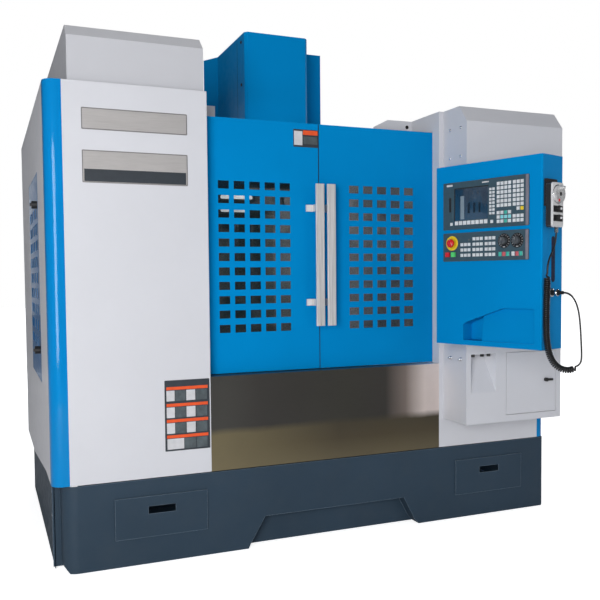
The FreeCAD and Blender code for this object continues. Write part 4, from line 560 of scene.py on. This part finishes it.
def front_plate(name, x, y, z, size, thick, radius, material, body,
                bevel=PLATE_RIM):
    """A plate that faces forwards."""
    plate(name, mm(x, y, z), X, UP, size, thick, radius, material, body, bevel)


def panel_plate(name, u, z, size, thick, radius, material, lift=0.0,
                body=PENDANT):
    """A plate on the operator plates, or lift mm above them."""
    plate(name, on_face(u, z, PLATE + lift), FACE_U, UP, size, thick, radius, material, body)


def spoke(right, up, angle):
    """A direction in the plane of right and up."""
    return right * math.cos(angle) + up * math.sin(angle)


def turned_piece(name, centre, axis, profile, material, body, segments,
                 smooth=True):
    """A lathe-turned piece from (radius, height) pairs in mm along axis."""
    axis = axis.normalized()
    side = axis.orthogonal().normalized()
    other = axis.cross(side)
    bm = bmesh.new()
    rings = []
    for radius, height in profile:
        ring = []
        for index in range(segments):
            way = spoke(side, other, 2 * math.pi * index / segments)
            ring.append(centre + (way * radius + axis * height) / 1000)
        rings.append(ring)
    loft(bm, rings)
    return finish_mesh(name, bm, material, body, smooth)


def screw(name, centre, radius, body, material=polished):
    """A pan-head screw with a socket, on a side that faces left."""
    profile = [(radius, -0.3), (radius, radius * 0.25), (radius * 0.8, radius * 0.5),
               (radius * 0.45, radius * 0.55), (radius * 0.42, radius * 0.2),
               (0.05, radius * 0.2)]
    turned_piece(name, centre, LEFTWARDS, profile, material, body, 12, False)


# ---------------------------------------------------------------- plates and seams
BADGE_X = -819.5
for name, z, height in (("name_plate", 1787, 84), ("model_plate", 1603, 126)):
    front_plate(name + "_rim", BADGE_X, 0, z, (417, height), 1.0, 4, badge_rim, "machine")
    front_plate(name, BADGE_X, -1.0, z, (409, height - 8), 0.7, 3, badge_steel, "machine")
front_plate("model_plate_field", BADGE_X, -1.7, 1569, (402, 48), 0.4, 1.5, badge_dark,
            "machine")

# The field of plain colours on the lower left panel: four bands, each above a row of cells.
LABEL_X = -627.5
LABEL_TOP = 749.0
BAND_HEIGHT = 13
CELL_DROP = 37
FULL_ROW = ((-70, 34, label_pale), (-29, 44, label_grey), (14.5, 38, label_pale),
            (60, 46, label_grey))
LAST_ROW = ((-51, 70, label_pale), (10, 48, label_grey), (60, 46, label_grey))
front_plate("lower_plate", LABEL_X, 0, 603, (189, 292), 1.0, 3, badge_dark, "machine")
for row, (top, cells) in enumerate(((27, FULL_ROW), (96, FULL_ROW), (161, FULL_ROW),
                                    (226, LAST_ROW))):
    edge = LABEL_TOP - top
    front_plate(f"lower_band_{row}", LABEL_X, -1.0, edge - BAND_HEIGHT / 2,
                (174, BAND_HEIGHT), 0.3, 0.8, label_orange, "machine")
    for column, (shift, width, material) in enumerate(cells):
        front_plate(f"lower_cell_{row}_{column}", LABEL_X + shift, -1.0, edge - CELL_DROP,
                    (width, 44), 0.3, 0.8, material, "machine")

DOOR_FACE = 60
front_plate("door_plate", -63, DOOR_FACE, 1776, (118, 77), 1.0, 2, badge_dark, "left_door")
for name, x, z, size, material, slot_name in (
        ("band", -41, 1801, (70, 20), label_orange, "red_plastic"),
        ("cell", -99, 1776, (40, 62), label_pale, "key_plastic"),
        ("grey", -41, 1768, (66, 34), label_grey, "key_plastic")):
    front_plate(f"door_plate_{name}", x, DOOR_FACE - 1, z, size, 0.3, 1, material,
                "left_door")

# The base plates' front edges are folded inwards, and a dark strip closes the doors' seam.
for name, x in (("left", -1126), ("right", 1160)):
    front_plate(f"base_return_{name}", x, 109.5, 200, (70, 384), 2.5, 1, dark_paint,
                "machine")
front_plate("door_seal", -2.4, DOOR_FACE, 1299.5, (3.0, 1083), 0.6, 0.8, gap_and_shade_black,
            "left_door", bevel=0.3)

# Two bar lamps stand off the left jamb inside the enclosure.
LAMP_LEFT = -419.6
COVER_OFFSET = Vector((0.004, -0.022, -0.001))
for index, (z, length) in enumerate(((1529, 176), (1470, 150))):
    middle = mm(LAMP_LEFT + length / 2, 262, z)
    plate(f"lamp_bar_{index}", middle, X, UP, (length, 26), 22, 6, lamp_case, "machine",
          bevel=3)
    plate(f"lamp_cover_{index}", middle + COVER_OFFSET, X, UP, (length - 26, 15), 3.5, 6,
          lamp_glow, "machine", bevel=1.5)
    plate(f"lamp_foot_{index}", mm(-418.5, 250, z), FORWARDS, UP, (44, 44), 3, 4, lamp_case,
          "machine")

# The flanges of the handles' feet are painted white.
FOOT_END = 65.5
for side, body, start in ((-1, "left_door", 43.5), (1, "right_door", 52.0)):
    for name, z in (("low", 1054), ("high", 1470)):
        front_plate(f"{body}_foot_{name}", side * (start + FOOT_END) / 2, 52, z,
                    (FOOT_END - start, 29), 0.5, 2, handle_white, body)

# ---------------------------------------------------------------- operator panel details
panel_plate("screen_bezel_top", 190, 1533, (174, 4), 0.9, 1, black_plastic)
panel_plate("screen_bezel_left", 104.5, 1465, (4, 132), 0.9, 1, black_plastic)
SCREEN_LIFT = 0.5
panel_plate("screen_block", 145, 1452, (20, 98), 0.15, 0.5, screen_pale,
            SCREEN_LIFT)
for index, u in enumerate((178, 206, 232)):
    panel_plate(f"screen_bar_{index}", u, 1448, (11, 42), 0.12, 3, screen_dark,
                SCREEN_LIFT)
panel_plate("card_slot", 81, 1467, (11, 61), 0.8, 2, black_plastic)
panel_plate("small_badge", 78, 1549, (31, 8), 0.5, 1.5, label_pale)
panel_plate("middle_badge", 261, 1548.5, (34, 5), 0.5, 1.5, label_pale)
STRIP_U = 457
STRIP_THICK = 1.6
for index, (z, height) in enumerate(((1461, 196), (1287, 116))):
    panel_plate(f"grip_strip_{index}", STRIP_U, z, (13, height), STRIP_THICK, 2.5, strip_grey)
    for rib, shift in enumerate((-3, 3)):
        panel_plate(f"grip_rib_{index}_{rib}", STRIP_U + shift, z, (2.2, height - 8), 0.8,
                    1.0, strip_grey, STRIP_THICK)

KEY_LIFT = 1.5
PITCH_U = 17.8
PITCH_Z = 17.5
EDIT_KEYS = (392, 1542)
CURSOR_KEYS = (317, 1425.5)
CURSOR_CAP = (13.4, 13.1)
DIALS = (("feed", 351.5, "feed_dial", (sea_plastic, rose_plastic, sea_plastic)),
         ("speed", 412.5, "speed_dial", (None, rose_plastic, sea_plastic)))


def key_cap(name, u, z, size, material):
    """A coloured cap over one key; u and z are the key's upper left corner."""
    panel_plate(name, u + size[0] / 2, z - size[1] / 2, size, 0.6, 1.5, material,
                KEY_LIFT)


key_cap("yellow_key", EDIT_KEYS[0] + 2 * PITCH_U, EDIT_KEYS[1] - 6 * PITCH_Z, (14.2, 14.0),
        yellow_plastic)
for column, row in ((2, 0), (1, 1), (2, 1), (3, 1), (2, 2)):
    key_cap(f"cursor_cap_{column}_{row}", CURSOR_KEYS[0] + column * PITCH_U,
            CURSOR_KEYS[1] - row * PITCH_Z, CURSOR_CAP,
            cyan_plastic if row == 1 else sea_plastic)
for dial, u, body, caps in DIALS:
    for column, material in enumerate(caps):
        if material:
            key_cap(f"{dial}_key_{column}", u - 25.1 + column * 18.2, 1260.5, (13.8, 17),
                    material)
panel_plate("group_lamp", 179.5, 1316, (10, 8), 0.8, 1.5, label_grey)

STOP_U = 92.0
STOP_Z = 1304.0
STOP_TOP = 24.4
MARK_RADIUS = 0.0136
turned_piece("stop_ring", on_face(STOP_U, STOP_Z, PLATE + 0.9), FACE_N,
             [(21.5, 0), (31, 0), (31, 1.6), (29.4, 2.4), (22, 2.4), (21.5, 1.8)],
             yellow_plastic, PENDANT, 48)
stop_head = turned_piece("stop_head", on_face(STOP_U, STOP_Z, 0), FACE_N,
                         [(0.5, -14), (10, -14), (10, 12.4), (14.5, 12.6), (17.6, 14.2),
                          (18.2, 17.5), (17.4, 21.5), (14.8, 24.6), (11.6, 26.0), (10.2, 24.8),
                          (9.4, 24.7), (8.6, 26.4), (5, 27.6), (0.5, 27.9)],
                         red_plastic, "emergency_stop", 48)
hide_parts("emergency_stop")
for index in range(3):
    way = spoke(FACE_U, UP, math.radians(90 + 120 * index))
    plate(f"stop_mark_{index}", on_face(STOP_U, STOP_Z, STOP_TOP) + way * MARK_RADIUS,
          way.cross(FACE_N), way, (7, 2.4), 0.6, 0.9, label_pale, "emergency_stop")

DIAL_Z = 1304.5
SCALE_THICK = 0.8
DIAL_TOP = 21.3
TICK_RADIUS = 0.0235
TICKS = 13
TICK_ANGLE = 24
for dial, u, body, caps in DIALS:
    turned_piece(f"{dial}_dial_scale", on_face(u, DIAL_Z), FACE_N,
                 [(15.6, 0.0), (29.5, 0.0), (29.5, 0.5), (29.0, SCALE_THICK),
                  (16.0, SCALE_THICK), (15.6, 0.5)],
                 black_plastic, PENDANT, 48)
    middle = on_face(u, DIAL_Z, PLATE + SCALE_THICK)
    for tick in range(TICKS):
        way = spoke(UP, FACE_U, math.radians((tick - TICKS // 2) * TICK_ANGLE))
        plate(f"{dial}_tick_{tick}", middle + way * TICK_RADIUS, way.cross(FACE_N), way,
              (1.7, 6.5), 0.2, 0.3, label_pale, PENDANT)
    panel_plate(f"{dial}_unit", u, DIAL_Z - 24, (11, 3.4), 0.2, 0.8, label_pale,
                SCALE_THICK)
    panel_plate(f"{dial}_pointer", u, DIAL_Z + 7, (1.6, 9), 0.3, 0.6, label_pale,
                DIAL_TOP, body)

# ---------------------------------------------------------------- handwheel unit details
WHEEL_S = 40
WHEEL_Z = 1475
WHEEL_TICKS = 40
WHEEL_TICK_RADIUS = 0.0262
# A dark navy plate in the side slot: painted shade in the recess.
plate("side_slot_shade", on_end(79, 0, 1228), END_S, UP, (26, 180), 0.6, 12.8, slot_shade_navy,
      PENDANT, bevel=0.3)
turned_piece("wheel_scale", on_end(WHEEL_S, 42.2, WHEEL_Z), END_N,
             [(33.5, 0), (36.5, 0), (36.5, 0.8), (35.8, 1.2), (33.5, 1.2)], polished, PENDANT,
             64)
for tick in range(WHEEL_TICKS):
    way = spoke(END_S, UP, 2 * math.pi * tick / WHEEL_TICKS)
    plate(f"wheel_tick_{tick}", on_end(WHEEL_S, 55, WHEEL_Z) + way * WHEEL_TICK_RADIUS,
          way.cross(END_N), way, (0.7, 4.5), 0.2, 0.3, badge_dark, "handwheel")
turned_piece("wheel_boss", on_end(WHEEL_S, 51, WHEEL_Z), END_N,
             [(9, -1), (9, 3), (7.5, 5), (2, 5.4)], black_plastic, "handwheel",
             32)
turned_piece("crank_grip", on_end(WHEEL_S, 50, WHEEL_Z + 23), END_N,
             [(4.5, 0), (6.8, 2), (7.2, 10), (6.6, 18), (4.5, 22.5), (1, 23)], wheel_alloy,
             "handwheel", 24)
turned_piece("wheel_mark", on_end(WHEEL_S - 11, 54.8, WHEEL_Z - 24), END_N,
             [(5.5, 0), (5.5, 1.2), (4.2, 2.4), (0.5, 2.8)], red_plastic, "handwheel",
             20)
for z, body in ((1419, "axis_selector"), (1384, "step_selector")):
    plate(f"selector_band_{z}", on_end(42.5, 42, z), END_S, UP, (66, 25), 0.6, 2,
          black_plastic, PENDANT)
    turned_piece(f"selector_cap_{z}", on_end(WHEEL_S, 55.0, z), END_N,
                 [(4.6, 0), (4.6, 4.0), (3.6, 5.0), (0.5, 5.2)], label_pale, body,
                 20)

# ---------------------------------------------------------------- screws, fittings and holes
CONSOLE_SIDE = 608
for index, (y, z) in enumerate(((-58, 1832), (-143, 1832), (-58, 1704), (-143, 1704))):
    screw(f"console_screw_{index}", mm(CONSOLE_SIDE, y, z), 7, "machine")
for index, y in enumerate((-66, -147)):
    turned_piece(f"console_fitting_{index}", mm(CONSOLE_SIDE, y, 786), LEFTWARDS,
                 [(9, -0.2), (9, 3), (7, 6), (4, 6), (4, 14), (3, 15), (0.5, 15)], polished,
                 "machine", 20)
COVER_SIDE = -168
for z in (2343, 2133):
    screw(f"cover_screw_{z}", mm(COVER_SIDE, 632, z), 8, "head", motor_black)
plate("cover_seam", mm(COVER_SIDE, 700, 2105), FORWARDS, UP, (3, 540), 0.3, 1, gap_and_shade_black,
      "head")
# A black disc on the header stub: painted shade where a hole is.
turned_piece("stub_hole_shade", mm(560, 250, 1900), FORWARDS,
             [(9, -0.2), (9, 0.4), (8, 0.8), (1, 0.8)], gap_and_shade_black, "machine",
             24)
screw("base_screw", mm(-1154, 180, 200), 7, "machine")


# ---------------------------------------------------------------- cord
# The route's points as on_end takes them: behind the face, off the end, height.
LEAD_ROUTE = [(55, 27, 1330), (54, 26.5, 1308), (49, 25, 1282), (38, 22.5, 1258),
              (24, 19.5, 1236), (13, 19.4, 1214), (8.4, 19.1, 1194), (8, 19, 1175)]
COIL_ROUTE = [(8, 19, 1175), (7, 18.5, 1120), (5.5, 17.5, 1050), (5, 17, 970), (7, 19, 905),
              (14, 28, 850), (26, 45, 816), (43, 70, 800), (57, 90.5, 800), (67, 106, 808),
              (72.8, 115, 820)]
TAIL_ROUTE = [(72.8, 115, 820), (77, 121.5, 829), (78.8, 124, 845), (79, 124, 871),
              (78, 122, 912), (76.5, 120, 960), (75, 116, 1008), (73, 109, 1044),
              (70.5, 98, 1071), (68.5, 83, 1089), (67, 66, 1097), (67, 52, 1097)]
# Diameters of the cord and of its coil over all.
CORD = 7.0
COIL = 27.0
CURLS = 56
CURL_STEPS = 16
# What the curls' steps gain in length at the coil's ends, in steps of its middle.
END_STRETCH = 4.0
ROUTE_STEPS = 24
LENGTH_STEPS = 6
CURVE_STEPS = 3


def spline(name, points, resolution):
    """An open NURBS curve with these control points."""
    curve = bpy.data.curves.new(name, "CURVE")
    curve.dimensions = "3D"
    line = curve.splines.new("NURBS")
    line.points.add(len(points) - 1)
    for target, point in zip(line.points, points):
        target.co = (*point, 1)
    line.order_u = 3
    line.use_endpoint_u = True
    line.resolution_u = resolution
    return curve


def sampled(points, resolution):
    """Points along the route's NURBS curve with no bevel, and how far along each one is."""
    curve = spline("route", points, resolution)
    holder = bpy.data.objects.new("route", curve)
    bpy.context.scene.collection.objects.link(holder)
    mesh = bpy.data.meshes.new_from_object(holder)
    line = [v.co.copy() for v in mesh.vertices]
    bpy.data.objects.remove(holder)
    bpy.data.meshes.remove(mesh)
    lengths = [0.0]
    for a, b in zip(line, line[1:]):
        lengths.append(lengths[-1] + (b - a).length)
    return line, lengths


def curled(points, radius):
    """Helix points round the route. The first and last turn are drawn out, and their
    radius grows and shrinks, so the plain cord runs into the curls in an easy bend."""
    line, lengths = sampled(points, ROUTE_STEPS)
    count = CURLS * CURL_STEPS
    fades = [min(1.0, index / CURL_STEPS, (count - index) / CURL_STEPS)
             for index in range(count + 1)]
    reach = [0.0]
    for a, b in zip(fades, fades[1:]):
        reach.append(reach[-1] + 1 + END_STRETCH * (1 - (a + b) / 2))
    result = []
    side = None
    place = 0
    for index in range(count + 1):
        distance = lengths[-1] * reach[index] / reach[-1]
        while place < len(line) - 2 and lengths[place + 1] < distance:
            place += 1
        span = lengths[place + 1] - lengths[place]
        share = (distance - lengths[place]) / span if span else 0
        centre = line[place].lerp(line[place + 1], min(share, 1))
        along = (line[place + 1] - line[place]).normalized()
        if side is None:
            side = along.orthogonal().normalized()
        side = (side - along * side.dot(along)).normalized()
        way = spoke(side, along.cross(side), 2 * math.pi * index / CURL_STEPS)
        result.append(centre + way * radius * fades[index])
    return result


def cord():
    """The handwheel's curly cord, from its unit to the connector on the pendant's end."""
    lead = [on_end(*p) for p in LEAD_ROUTE]
    coil = curled([on_end(*p) for p in COIL_ROUTE], (COIL - CORD) / 2000)
    tail = [on_end(*p) for p in TAIL_ROUTE]
    points = lead[:-1] + coil + tail[1:]
    curve = spline("handwheel_cord", points, CURVE_STEPS)
    curve.bevel_depth = CORD / 2000
    curve.bevel_resolution = 3
    curve.use_fill_caps = True
    curve.materials.append(cord_rubber)
    piece = bpy.data.objects.new("handwheel_cord", curve)
    bpy.context.scene.collection.objects.link(piece)
    length = sampled(points, LENGTH_STEPS)[1][-1]
    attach(piece, "pendant")
    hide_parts("handwheel_lead", "handwheel_coil", "handwheel_tail")


cord()
PLUG_S = 67
PLUG_Z = 1097
turned_piece("plug_nut", on_end(PLUG_S, 20, PLUG_Z), END_N,
             [(11.2, 0), (13.5, 1), (13.5, 9), (11.2, 10)], polished, PENDANT,
             24)
turned_piece("plug_collar", on_end(PLUG_S, 0, PLUG_Z), END_N,
             [(16.2, 0.2), (17, 1), (17, 3.4), (16, 4.4), (11.2, 4.4)], polished, PENDANT,
             32)

# ---------------------------------------------------------------- stage
# The floor is brightened for the camera alone, more from LIFT_START to LIFT_END metres off.
FLOOR_HALF = 30.0
FLOOR_DROP = 0.0005
FLOOR_LIFT = 0.78
FAR_LIFT = 1.2
LIFT_START = 3.0
LIFT_END = 9.0
# The room's light is strongest from the direction SOFT_SIDE, and weaker in reflections.
SOFT_SIDE = (-0.12, -0.84, -0.53)
SOFT_BACK = 0.10
SOFT_FRONT = 0.60
GLOSS_SHARE = 0.30
# Name, place, target, size, watts and colour of each lamp.
LAMPS = (
    ("key", (-2.9, -4.6, 1.4), (-0.1, -0.65, 1.15), (1.9, 2.0), 150, (1, 1, 1)),
    ("fill", (3.4, -5.6, 1.4), (0.4, -0.6, 1.1), (2.6, 2.4), 16, (1, 1, 1)),
    ("work_lamp", (-0.24, -0.44, 1.74), (-0.1, 0.35, 0.9), (0.35, 0.05), 2,
     (0.95, 0.98, 1.0)),
    ("bay_lamp", (0.62, 0.10, 1.74), (0.80, 0.95, 1.10), (0.25, 0.05), 5,
     (0.94, 0.98, 0.95)),
    ("back", (0.6, 6.4, 2.0), (0, 0.8, 1.1), (4.2, 2.6), 150, (1, 1, 1)),
    ("right", (6.2, 1.4, 1.9), (0.8, 0.3, 1.1), (3.4, 2.4), 95, (1, 1, 1)),
    ("top", (0.3, 1.6, 6.2), (0.0, 0.4, 1.5), (3.5, 3.5), 42, (1, 1, 1)),
)
# The camera's yaw, pitch and roll in degrees, its place, its focal length and the shift of
# its middle in picture points, and the picture's width in them.
VIEW_TURN = (22.37, 2.76, 0.49)
VIEW_PLACE = mm(-1391.7, -3089.6, 1163.8)
VIEW_FOCUS = 768.17
VIEW_SHIFT = (-0.38, 14.69)
PICTURE = 600
SENSOR = 36.0


def floor():
    """A plain pale floor that keeps the machine's shadow."""
    n = Nodes("floor")
    n.tree.nodes.remove(n.bsdf)
    diffuse = n.add("ShaderNodeBsdfDiffuse")
    diffuse.inputs["Color"].default_value = (0.80, 0.80, 0.80, 1)
    lift = n.add("ShaderNodeEmission")
    lift.inputs["Color"].default_value = (1, 1, 1, 1)
    rays = n.add("ShaderNodeLightPath")
    reach = n.add("ShaderNodeVectorMath", operation="LENGTH")
    n.link(n.coords, "Object", reach, 0)
    far = n.range(reach, "Value", FLOOR_LIFT, FAR_LIFT, LIFT_START, LIFT_END)
    strength = n.add("ShaderNodeMath", operation="MULTIPLY")
    n.link(rays, "Is Camera Ray", strength, 0)
    n.link(far, "Result", strength, 1)
    n.link(strength, "Value", lift, "Strength")
    both = n.add("ShaderNodeAddShader")
    n.link(diffuse, "BSDF", both, 0)
    n.link(lift, "Emission", both, 1)
    n.link(both, "Shader", n.out, "Surface")
    mesh = bpy.data.meshes.new("floor")
    corners = [(x * FLOOR_HALF, y * FLOOR_HALF, 0)
               for x, y in ((-1, -1), (1, -1), (1, 1), (-1, 1))]
    mesh.from_pydata(corners, [], [(0, 1, 2, 3)])
    mesh.materials.append(n.material)
    ground = bpy.data.objects.new("floor", mesh)
    ground.location.z = -FLOOR_DROP
    bpy.context.scene.collection.objects.link(ground)


def world():
    """Soft light from the room for the machine, and plain white for the camera."""
    scene_world = bpy.data.worlds.new("studio")
    bpy.context.scene.world = scene_world
    scene_world.use_nodes = True
    nodes = scene_world.node_tree.nodes
    link = scene_world.node_tree.links.new
    nodes.clear()
    out = nodes.new("ShaderNodeOutputWorld")
    soft = nodes.new("ShaderNodeBackground")
    soft.inputs["Color"].default_value = (0.93, 0.95, 1.0, 1)
    coords = nodes.new("ShaderNodeTexCoord")
    facing = nodes.new("ShaderNodeVectorMath")
    facing.operation = "DOT_PRODUCT"
    facing.inputs[1].default_value = SOFT_SIDE
    level = nodes.new("ShaderNodeMapRange")
    level.inputs["From Min"].default_value = -0.5
    level.inputs["From Max"].default_value = 0.9
    level.inputs["To Min"].default_value = SOFT_BACK
    level.inputs["To Max"].default_value = SOFT_FRONT
    shown = nodes.new("ShaderNodeBackground")
    shown.inputs["Color"].default_value = (1, 1, 1, 1)
    shown.inputs["Strength"].default_value = 1.0
    rays = nodes.new("ShaderNodeLightPath")
    dim = nodes.new("ShaderNodeMapRange")
    dim.inputs["To Min"].default_value = 1.0
    dim.inputs["To Max"].default_value = GLOSS_SHARE
    scaled = nodes.new("ShaderNodeMath")
    scaled.operation = "MULTIPLY"
    mix = nodes.new("ShaderNodeMixShader")
    link(coords.outputs["Generated"], facing.inputs[0])
    link(facing.outputs["Value"], level.inputs["Value"])
    link(rays.outputs["Is Glossy Ray"], dim.inputs["Value"])
    link(level.outputs["Result"], scaled.inputs[0])
    link(dim.outputs["Result"], scaled.inputs[1])
    link(scaled.outputs["Value"], soft.inputs["Strength"])
    link(rays.outputs["Is Camera Ray"], mix.inputs[0])
    link(soft.outputs[0], mix.inputs[1])
    link(shown.outputs[0], mix.inputs[2])
    link(mix.outputs[0], out.inputs["Surface"])


def area_light(name, place, target, size, power, color):
    lamp = bpy.data.lights.new(name, "AREA")
    lamp.shape = "RECTANGLE"
    lamp.size, lamp.size_y = size
    lamp.energy = power
    lamp.color = color
    holder = bpy.data.objects.new(name, lamp)
    holder.location = place
    aim = Vector(target) - Vector(place)
    holder.rotation_euler = aim.to_track_quat("-Z", "Y").to_euler()
    bpy.context.scene.collection.objects.link(holder)


def camera():
    """The photograph's camera."""
    yaw, pitch, roll = (math.radians(a) for a in VIEW_TURN)
    forward = Vector((math.sin(yaw) * math.cos(pitch), math.cos(yaw) * math.cos(pitch),
                      -math.sin(pitch)))
    level_right = Vector((math.cos(yaw), -math.sin(yaw), 0))
    level_down = forward.cross(level_right)
    right = level_right * math.cos(roll) + level_down * math.sin(roll)
    down = level_down * math.cos(roll) - level_right * math.sin(roll)
    lens = bpy.data.cameras.new("camera")
    lens.sensor_width = SENSOR
    lens.lens = VIEW_FOCUS / PICTURE * SENSOR
    lens.shift_x = VIEW_SHIFT[0] / PICTURE
    lens.shift_y = VIEW_SHIFT[1] / PICTURE
    lens.clip_start = 0.05
    lens.clip_end = 200
    holder = bpy.data.objects.new("camera", lens)
    basis = Matrix((right, -down, -forward)).transposed()
    holder.matrix_world = Matrix.Translation(VIEW_PLACE) @ basis.to_4x4()
    bpy.context.scene.collection.objects.link(holder)
    bpy.context.scene.camera = holder


floor()
world()
camera()
for lamp_facts in LAMPS:
    area_light(*lamp_facts)
bpy.context.scene.view_settings.view_transform = "Standard"
